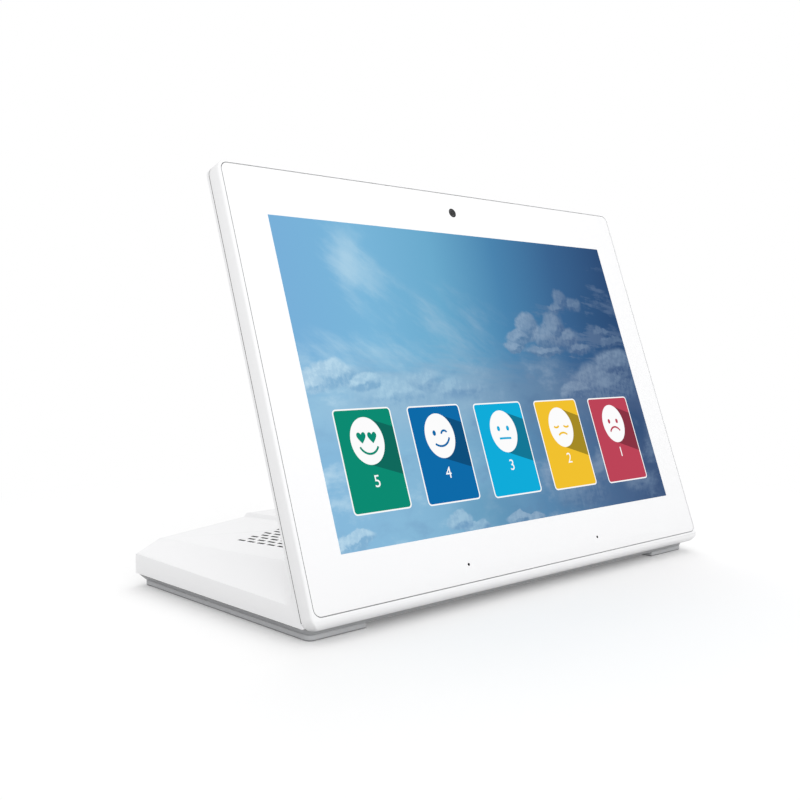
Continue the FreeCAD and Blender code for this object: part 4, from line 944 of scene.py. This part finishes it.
def stroke(start, end, sag, width):
    """A flat curved line between two points that dips by sag in its middle: a short edge is spun."""
    start, end = Vector((start[0], 0, start[1])), Vector((end[0], 0, end[1]))
    span = (end - start).length
    along = (end - start).normalized()
    down = Vector((along.z, 0, -along.x)) * (1 if sag > 0 else -1)
    sag = max(abs(sag), span * 0.01)
    radius = (span * span / 4 + sag * sag) / (2 * sag)
    centre = (start + end) / 2 + down * (sag - radius)
    sweep = 2 * math.asin(min(1, span / 2 / radius))
    if sag > span / 2:
        sweep = 2 * math.pi - sweep
    deselect()
    bpy.ops.mesh.primitive_plane_add(size=width, location=start, rotation=FACING)
    piece = bpy.context.object
    apply_place()
    edit(piece, "VERT")
    pick(piece, "vertices", lambda v: v.index in (2, 3))
    bpy.ops.mesh.delete(type="VERT")
    done()
    outward = (start - centre).normalized()
    for vertex, side in zip(piece.data.vertices, (-0.5, 0.5)):
        vertex.co = start + outward * width * side
    edit(piece, "VERT", whole=True)
    turn = (start - centre).cross(end - centre).y
    bpy.ops.mesh.spin(steps=14, angle=-sweep if turn > 0 else sweep, center=centre, axis=(0, 1, 0))
    weld()
    return done()


HEART = (((0, 0.28), (-0.18, 0.62), (0.18, 0.62)), ((0.5, 0.2), (0.5, 0.5), (0.5, -0.02)),
         ((0, -0.5), (0.1, -0.4), (-0.1, -0.4)), ((-0.5, 0.2), (-0.5, -0.02), (-0.5, 0.5)))


def heart(x, up, size):
    """A flat heart: a Bezier circle whose four points and handles are moved."""
    deselect()
    bpy.ops.curve.primitive_bezier_circle_add(radius=size / 2, location=(0, 0, 0))
    drawn = bpy.context.object
    for point, places in zip(drawn.data.splines[0].bezier_points, HEART):
        spots = [Vector((a * size, b * size, 0)) for a, b in places]
        point.handle_left_type = point.handle_right_type = "FREE"
        point.co, point.handle_left, point.handle_right = spots
    drawn.data.dimensions = "2D"
    drawn.data.fill_mode = "BOTH"
    drawn.rotation_euler = FACING
    drawn.location = (x, 0, up)
    bpy.ops.object.convert(target="MESH")
    apply_place()
    return bpy.context.object


def numeral(text, x, up, size):
    """A flat number, centred."""
    deselect()
    bpy.ops.object.text_add(location=(x, 0, up), rotation=FACING)
    drawn = bpy.context.object
    drawn.data.body = text
    drawn.data.size = size
    drawn.data.align_x = "CENTER"
    drawn.data.align_y = "CENTER"
    bpy.ops.object.convert(target="MESH")
    apply_place()
    return bpy.context.object


card_white = ink("card_white", 252, 252, 252)
print("the cards' tools and their white are ready")

# %% The five cards
HEART_SIZE, EYE_WIDE, EYE_HIGH, LINE_WIDE, FACE_WIDE, FACE_HIGH = mm(4.7, 1.9, 2.4, 0.92, 17.2, 19.6)
SHADOW_HALF, NUMBER_UP, NUMBER_SIZE = mm(9.5, 46.0, 7.0)
CARDS = [
    {"name": "card_five", "number": "5", "box": (-97.9, -67.5, 33.8, 76.2), "face": (-83.1, 62.7),
     "ink": (2, 138, 113), "shadow": (6, 104, 91),
     "hearts": [(-85.9, 64.1), (-80.3, 63.9)], "ovals": [], "strokes": [(-87.6, 60.4, -78.2, 60.1, 2.9)]},
    {"name": "card_four", "number": "4", "box": (-58.4, -27.3, 33.3, 75.8), "face": (-42.7, 62.3),
     "ink": (2, 105, 168), "shadow": (2, 77, 124),
     "hearts": [], "ovals": [(-45.8, 63.6)],
     "strokes": [(-41.8, 63.0, -38.4, 63.6, -1.1), (-46.4, 58.9, -37.6, 61.2, 2.2)]},
    {"name": "card_three", "number": "3", "box": (-18.4, 13.4, 32.4, 75.4), "face": (-2.4, 61.8),
     "ink": (2, 171, 217), "shadow": (6, 118, 149),
     "hearts": [], "ovals": [(-5.5, 63.2), (0.6, 63.1)], "strokes": [(-6.2, 58.6, 1.4, 58.4, 0.0)]},
    {"name": "card_two", "number": "2", "box": (22.8, 54.6, 31.8, 75.1), "face": (38.6, 61.4),
     "ink": (241, 193, 42), "shadow": (164, 137, 30),
     "hearts": [], "ovals": [],
     "strokes": [(33.4, 62.0, 37.0, 62.2, 0.7), (40.6, 62.1, 44.4, 61.9, 0.7),
                 (35.6, 57.5, 41.8, 57.6, -1.1)]},
    {"name": "card_one", "number": "1", "box": (64.2, 97.0, 31.2, 74.7), "face": (80.7, 60.9),
     "ink": (188, 64, 85), "shadow": (135, 45, 62),
     "hearts": [], "ovals": [(77.4, 62.2), (83.8, 62.1)], "strokes": [(76.6, 56.8, 84.6, 57.0, -2.2)]},
]


def make_card(card):
    """One card with its shadow, face, features and number."""
    colour = ink(card["name"] + "_ink", *card["ink"])
    dark = ink(card["name"] + "_shadow", *card["shadow"])
    x0, x1, low, high = mm(*card["box"])
    face_x, face_up = mm(*card["face"])
    plate = card_plate(x0, x1, low, high, colour)
    band = flat_box(x0, x1 - CARD_BORDER, low, high)
    cut_band(band, Vector((face_x, 0, face_up)), SHADOW_TILT, SHADOW_HALF)
    features = [heart(*mm(x, up), HEART_SIZE) for x, up in card["hearts"]]
    features += [oval(*mm(x, up), EYE_WIDE, EYE_HIGH, sides=20) for x, up in card["ovals"]]
    features += [stroke(mm(a, b), mm(c, d), mm(sag), LINE_WIDE) for a, b, c, d, sag in card["strokes"]]
    face = oval(face_x, face_up, FACE_WIDE, FACE_HIGH)
    number = numeral(card["number"], (x0 + x1) / 2, NUMBER_UP, NUMBER_SIZE)
    layers = [([plate], None), ([band], dark), ([face], card_white), (features, colour),
              ([number], card_white)]
    films = []
    for level, (pieces, material) in enumerate(layers, 1):
        layer = film(joined(pieces, "layer"), FILM + LAYER * level)
        films.append(paint(layer, material) if material else layer)
    return films


for card in CARDS:
    whole = leaned(joined(make_card(card), card["name"]))
    hand_in(whole, card["name"], "display")

# %% [markdown]
# ## Keys on the head's back
# Three sprung keys stand a little proud of the back. Each cap is a softened copy of its solid, so it
# still slides in its opening. The marks on them are the common ones: a broken ring with a bar for
# power, a plus and a minus for volume. They could be painted on, but as low ridges, moulded with the
# cap and printed grey, they also catch a little light of their own.

# %% Marks and caps
KEY_X = 86.0 * MM
KEY_FACE = 20.8 * MM
KEY_ROUND = 0.25 * MM
MARK = 0.12 * MM


def key_spot(up):
    """The middle of a key's face, on the upright head."""
    return Vector((KEY_X, KEY_FACE, up))


def ridge(up, wide, high):
    """A low bar on a key's face."""
    return box_at(key_spot(up), (wide, 2 * MARK, high))


def cap(node, marks):
    """One key: its softened copy with its mark, on its own body."""
    piece = copied(node, KEY_ROUND)
    printed = [paint(leaned(mark), key_print) for mark in marks]
    hand_in(joined([piece] + printed, node + "_cap"), node + "_cap", "white_key", node, body=node)


def ring_arc(centre, radius, width, start, sweep):
    """Part of a flat ring standing as a ridge: one small square is spun about the Y axis."""
    deselect()
    bpy.ops.mesh.primitive_plane_add(size=1, location=centre + Vector((radius, 0, 0)))
    piece = bpy.context.object
    piece.scale = (width, 2 * MARK, 1)
    apply_place()
    edit(piece, whole=True)
    bpy.ops.mesh.spin(steps=20, angle=-sweep, center=centre, axis=(0, 1, 0))
    weld()
    bpy.ops.mesh.normals_make_consistent(inside=False)
    done()
    turn = Matrix.Rotation(start, 4, "Y")
    piece.matrix_world = Matrix.Translation(centre) @ turn @ Matrix.Translation(-centre)
    alone(piece)
    apply_place()
    return piece


POWER_UP, VOLUME_UP, VOLUME_DOWN = mm(130.0, 112.0, 98.0)
RING_GAP = math.radians(35)
RING_R, RING_WIDE, BAR_LIFT, BAR_WIDE, BAR_HIGH = mm(1.3, 0.32, 1.2, 0.34, 1.3)
SIGN_LONG, SIGN_WIDE, ARM_LIFT, ARM_LONG = mm(2.4, 0.36, 0.7, 1.04)
cap("power_button", [
    ring_arc(key_spot(POWER_UP), RING_R, RING_WIDE, -QUARTER + RING_GAP, 2 * math.pi - 2 * RING_GAP),
    ridge(POWER_UP + BAR_LIFT, BAR_WIDE, BAR_HIGH)])
cap("volume_up_button", [ridge(VOLUME_UP, SIGN_LONG, SIGN_WIDE),
                         ridge(VOLUME_UP + ARM_LIFT, SIGN_WIDE, ARM_LONG),
                         ridge(VOLUME_UP - ARM_LIFT, SIGN_WIDE, ARM_LONG)])
cap("volume_down_button", [ridge(VOLUME_DOWN, SIGN_LONG, SIGN_WIDE)])

# %% [markdown]
# ## Sockets along the rear
# Each socket keeps its solid's shape. In the copies, the faces inside a square mouth turn to black
# plastic, and the power socket's pin and the audio socket's lining are plated. A face takes its finish
# by where its corners lie, so no lining has to be modelled that could poke through a wall. The metal
# that touches a plug is added: eight sprung wires in the network socket and four flat strips on each
# USB tongue. One of each kind is modelled, and the rest of its row are copies.

# %% Socket cavities
FACE_Y = 64.7225 * MM
LAN_X, USB_LEFT_X, USB_RIGHT_X, MICRO_X, AUDIO_X, DC_X = mm(-22, 1, 20, 37, 51, -44)
LAN_Z, USB_Z, MICRO_Z, AUDIO_Z, DC_Z = mm(15.5, 12.55, 10.05, 11.3, 14.1)
SOCKET_ROUND = 0.12 * MM


def lined(node, slot, inside, lining):
    """A softened copy of a socket whose faces inside a region take another finish."""
    piece = copied(node, SOCKET_ROUND)
    piece.data.materials.append(lining)
    for face in piece.data.polygons:
        face.material_index = int(all(inside(piece.data.vertices[v].co) for v in face.vertices))
    hand_in(piece, node + "_socket", slot, node)


def in_mouth(x, z, half_x, half_z, skin):
    """A rule for points inside a square mouth, past a thin front skin; sizes in millimetres."""
    return lambda p: abs(p.x - x) < half_x * MM and abs(p.z - z) < half_z * MM and p.y < FACE_Y - skin * MM


def in_round(x, z, radius, skin):
    """The same for a round mouth or pin; a skin below 0 takes in the front too."""
    return lambda p: math.hypot(p.x - x, p.z - z) < radius * MM and p.y < FACE_Y - skin * MM


lined("lan_port", "port_metal", in_mouth(LAN_X, LAN_Z, 6.1, 5.0, 0.25), black_plastic)
lined("usb_port_left", "port_metal", in_mouth(USB_LEFT_X, USB_Z, 5.6, 1.65, 1.0), black_plastic)
lined("usb_port_right", "port_metal", in_mouth(USB_RIGHT_X, USB_Z, 5.6, 1.65, 1.0), black_plastic)
lined("micro_usb_port", "port_metal", in_mouth(MICRO_X, MICRO_Z, 1.9, 2.0, 0.8), black_plastic)
lined("dc_jack", "black_plastic", in_round(DC_X, DC_Z, 1.1, -1.0), gold_plate)
lined("audio_jack", "black_plastic", in_round(AUDIO_X, AUDIO_Z, 1.85, 1.5), gold_plate)
print("six sockets lined")

# %% Contacts
def repeated(piece, places):
    """A piece at the origin goes to the first place, and copies with their own meshes to the others."""
    row = [piece]
    while len(row) < len(places):
        row.append(bpy.data.objects.new(piece.name, piece.data.copy()))
        bpy.context.scene.collection.objects.link(row[-1])
    for item, place in zip(row, places):
        item.location = place
        alone(item)
        apply_place()
    return row


def contact_row(name, first, pitch, count, size, tilt):
    """A row of contacts: one is shaped from a bar and tilted, and then copied."""
    contact = soften_all(box_at((0, 0, 0), size), size[2] * 0.2, 1)
    contact.rotation_euler.x = tilt
    alone(contact)
    apply_place()
    paint(contact, gold_plate)
    row = repeated(contact, [Vector(first) + Vector((index * pitch, 0, 0)) for index in range(count)])
    hand_in(joined(row, name), name, "port_metal")


WIRE, WIRE_FIRST, WIRE_DEEP, WIRE_Z, WIRE_PITCH = mm(0.42, 9.0, 0.34), *mm(-3.57, 7.0, 12.5, 1.02)
STRIP, STRIP_FIRST, STRIP_DEEP, STRIP_Z, STRIP_PITCH = mm(1.1, 7.6, 0.14), *mm(-3.5, 5.6, 12.02, 2.333)
contact_row("network_contacts", (LAN_X + WIRE_FIRST, FACE_Y - WIRE_DEEP, WIRE_Z), WIRE_PITCH, 8, WIRE,
            math.radians(-16))
for name, x in (("usb_contacts_left", USB_LEFT_X), ("usb_contacts_right", USB_RIGHT_X)):
    contact_row(name, (x + STRIP_FIRST, FACE_Y - STRIP_DEEP, STRIP_Z), STRIP_PITCH, 4, STRIP, 0)

# %% [markdown]
# ## Link lights of the network socket
# Two small light windows sit above the network socket's mouth. They could be faces of the case with
# another finish, but a box with rounded edges, set into the case, catches light on its rim. The
# plastic is cloudy and doesn't glow, because no cable is plugged in.

# %% Link lights
def cloudy(name, colour):
    """Milky plastic of a small unlit light window."""
    bench = Bench(name)
    milk = bench.noise(900.0, 3.0)
    return bench.feed({"Base Color": bench.blend(milk, tint(colour, 0.85), tint(colour, 1.1)),
                       "Roughness": 0.3, "Coat Weight": 0.5})


LIGHT_SIZE, LIGHT_OUT, LIGHT_Z, LIGHT_ROUND = mm(2.6, 0.5, 1.4), *mm(5.6, 20.6, 0.18)
windows = repeated(soften_all(box_at((0, 0, 0), LIGHT_SIZE), LIGHT_ROUND, 2),
                   [(LAN_X + side, FACE_Y, LIGHT_Z) for side in (-LIGHT_OUT, LIGHT_OUT)])
for window, name, colour in zip(windows, ("link_light_left", "link_light_right"),
                                (srgb(92, 150, 84), srgb(196, 148, 62))):
    paint(window, cloudy(name + "_plastic", colour))
    hand_in(window, name, "display")

# %% [markdown]
# ## Screws under the pan
# Four screws hold the pan from below. A domed round head with a cross recess is turned from a short
# bar: its lower rim is bevelled wide for the dome, and two crossed blades cut the recess. One screw is
# modelled, and the other three are copies with their own meshes.

# %% Pan screws
SCREW_SPOTS = [mm(side * x, y, 2.4) for side in (-1, 1) for x, y in ((57.0, -24.7775), (88.0, 51.2225))]
HEAD_R, HEAD_T, HEAD_DOME, SHANK_R, SHANK_L, SHANK_Z = mm(2.7, 1.8, 0.55, 1.45, 9.0, 6.2)
BLADE = mm(2.8, 0.62, 1.5)


def cross_screw():
    """One screw at the origin, its head's outer face looking down at Z = 0."""
    head = pipe_at((0, 0, HEAD_T / 2), HEAD_R, HEAD_T, sides=40)
    edit(head, "EDGE")
    pick(head, "edges", lambda e: all(head.data.vertices[v].co.z < 0.1 * MM for v in e.vertices))
    bpy.ops.mesh.bevel(offset=HEAD_DOME, segments=4)
    done()
    for turn in (0, QUARTER):
        blade = box_at((0, 0, 0), BLADE)
        blade.rotation_euler.z = turn
        alone(blade)
        apply_place()
        cut_with(head, blade)
    shank = pipe_at((0, 0, SHANK_Z), SHANK_R, SHANK_L, sides=24)
    return paint(joined([head, shank], "pan_screw"), screw_steel)


screws = joined(repeated(cross_screw(), SCREW_SPOTS), "cross_screws")
hand_in(screws, "cross_screws", "screw_steel", "pan_screws")

# %% [markdown]
# ## Floor and light
# A pale floor stands for the white sweep of a studio. Near the terminal it is an ordinary lit floor
# that keeps the soft shadow; further out it fades into plain white for the camera and for
# reflections, and meets the white world with no line. In the light it throws back, the floor is
# darker near the terminal, which is painted shade on the terminal's lower parts. The world lights
# everything evenly, one lamp lifts the front and another the deck and the back.

# %% Floor, world and lamps
NEAR_FLOOR = 0.12
FAR_FLOOR = 0.38
SWEEP_GLOW = 0.14
FLOOR_WHITE = (0.97, 0.97, 0.97)
# painted shade: the floor's colour for bounced light only, darker near the terminal so its lower parts are
# shaded.
NEAR_BOUNCE_SHADE = (0.60, 0.60, 0.60)
FAR_BOUNCE = (0.86, 0.86, 0.86)


def pale_floor():
    """A lit floor near the object that fades to plain white around it."""
    bench = Bench("pale_floor")
    rays = bench.node("LightPath", {}, {})
    seen = bench.sums("MAXIMUM", rays, rays.other("Is Glossy Ray"))
    reach = bench.node("VectorMath", {"operation": "LENGTH"}, {0: bench.place()})
    fade = SWEEP_GLOW + bench.step(reach, NEAR_FLOOR, FAR_FLOOR) * (1 - SWEEP_GLOW)
    glow = bench.node("Emission", {}, {"Color": (1.0, 1.0, 1.0), "Strength": 1.0})
    # Painted shade: light bounced off the floor is darker near the terminal, which darkens its lower parts.
    shaded_bounce = bench.blend(bench.step(reach, NEAR_FLOOR, FAR_FLOOR), NEAR_BOUNCE_SHADE, FAR_BOUNCE)
    bench.feed({"Base Color": bench.blend(rays.other("Is Diffuse Ray"), FLOOR_WHITE, shaded_bounce),
                "Roughness": 0.9, "Specular IOR Level": 0.2})
    lit = Wire(bench, bench.shader.outputs[0])
    mixed = bench.node("MixShader", {}, {0: seen * fade, 1: lit, 2: glow})
    bench.plug(bench.tree.nodes["Material Output"].inputs["Surface"], mixed)
    return bench.material


deselect()
bpy.ops.mesh.primitive_plane_add(size=40)
floor = bpy.context.object
floor.name = "floor"
floor.data.materials.append(pale_floor())

WORLD_LIGHT = 0.90
world = bpy.data.worlds.new("studio")
bpy.context.scene.world = world
world.use_nodes = True
tree = world.node_tree
even = tree.nodes["Background"]
even.inputs["Color"].default_value = (1, 1, 1, 1)
even.inputs["Strength"].default_value = WORLD_LIGHT
seen_white = tree.nodes.new("ShaderNodeBackground")
seen_white.inputs["Color"].default_value = (1, 1, 1, 1)
rays = tree.nodes.new("ShaderNodeLightPath")
either = tree.nodes.new("ShaderNodeMixShader")
tree.links.new(rays.outputs["Is Camera Ray"], either.inputs[0])
tree.links.new(even.outputs[0], either.inputs[1])
tree.links.new(seen_white.outputs[0], either.inputs[2])
tree.links.new(either.outputs[0], tree.nodes["World Output"].inputs["Surface"])


LIT_SPOT = Vector((0, 0, 0.08))


def soft_lamp(name, place, size, power):
    """A square area lamp that faces the terminal and isn't mirrored in its glass."""
    data = bpy.data.lights.new(name, "AREA")
    data.size = size
    data.energy = power
    lamp = bpy.data.objects.new(name, data)
    lamp.location = place
    lamp.rotation_euler = (LIT_SPOT - Vector(place)).to_track_quat("-Z", "Y").to_euler()
    lamp.visible_glossy = False
    bpy.context.scene.collection.objects.link(lamp)


soft_lamp("front_lamp", (-0.5, -2.1, 0.9), 1.6, 13.0)
soft_lamp("back_lamp", (0.9, 0.9, 1.5), 1.2, 7.0)
bpy.context.scene.view_settings.view_transform = "Standard"
print("two lamps and a white world")
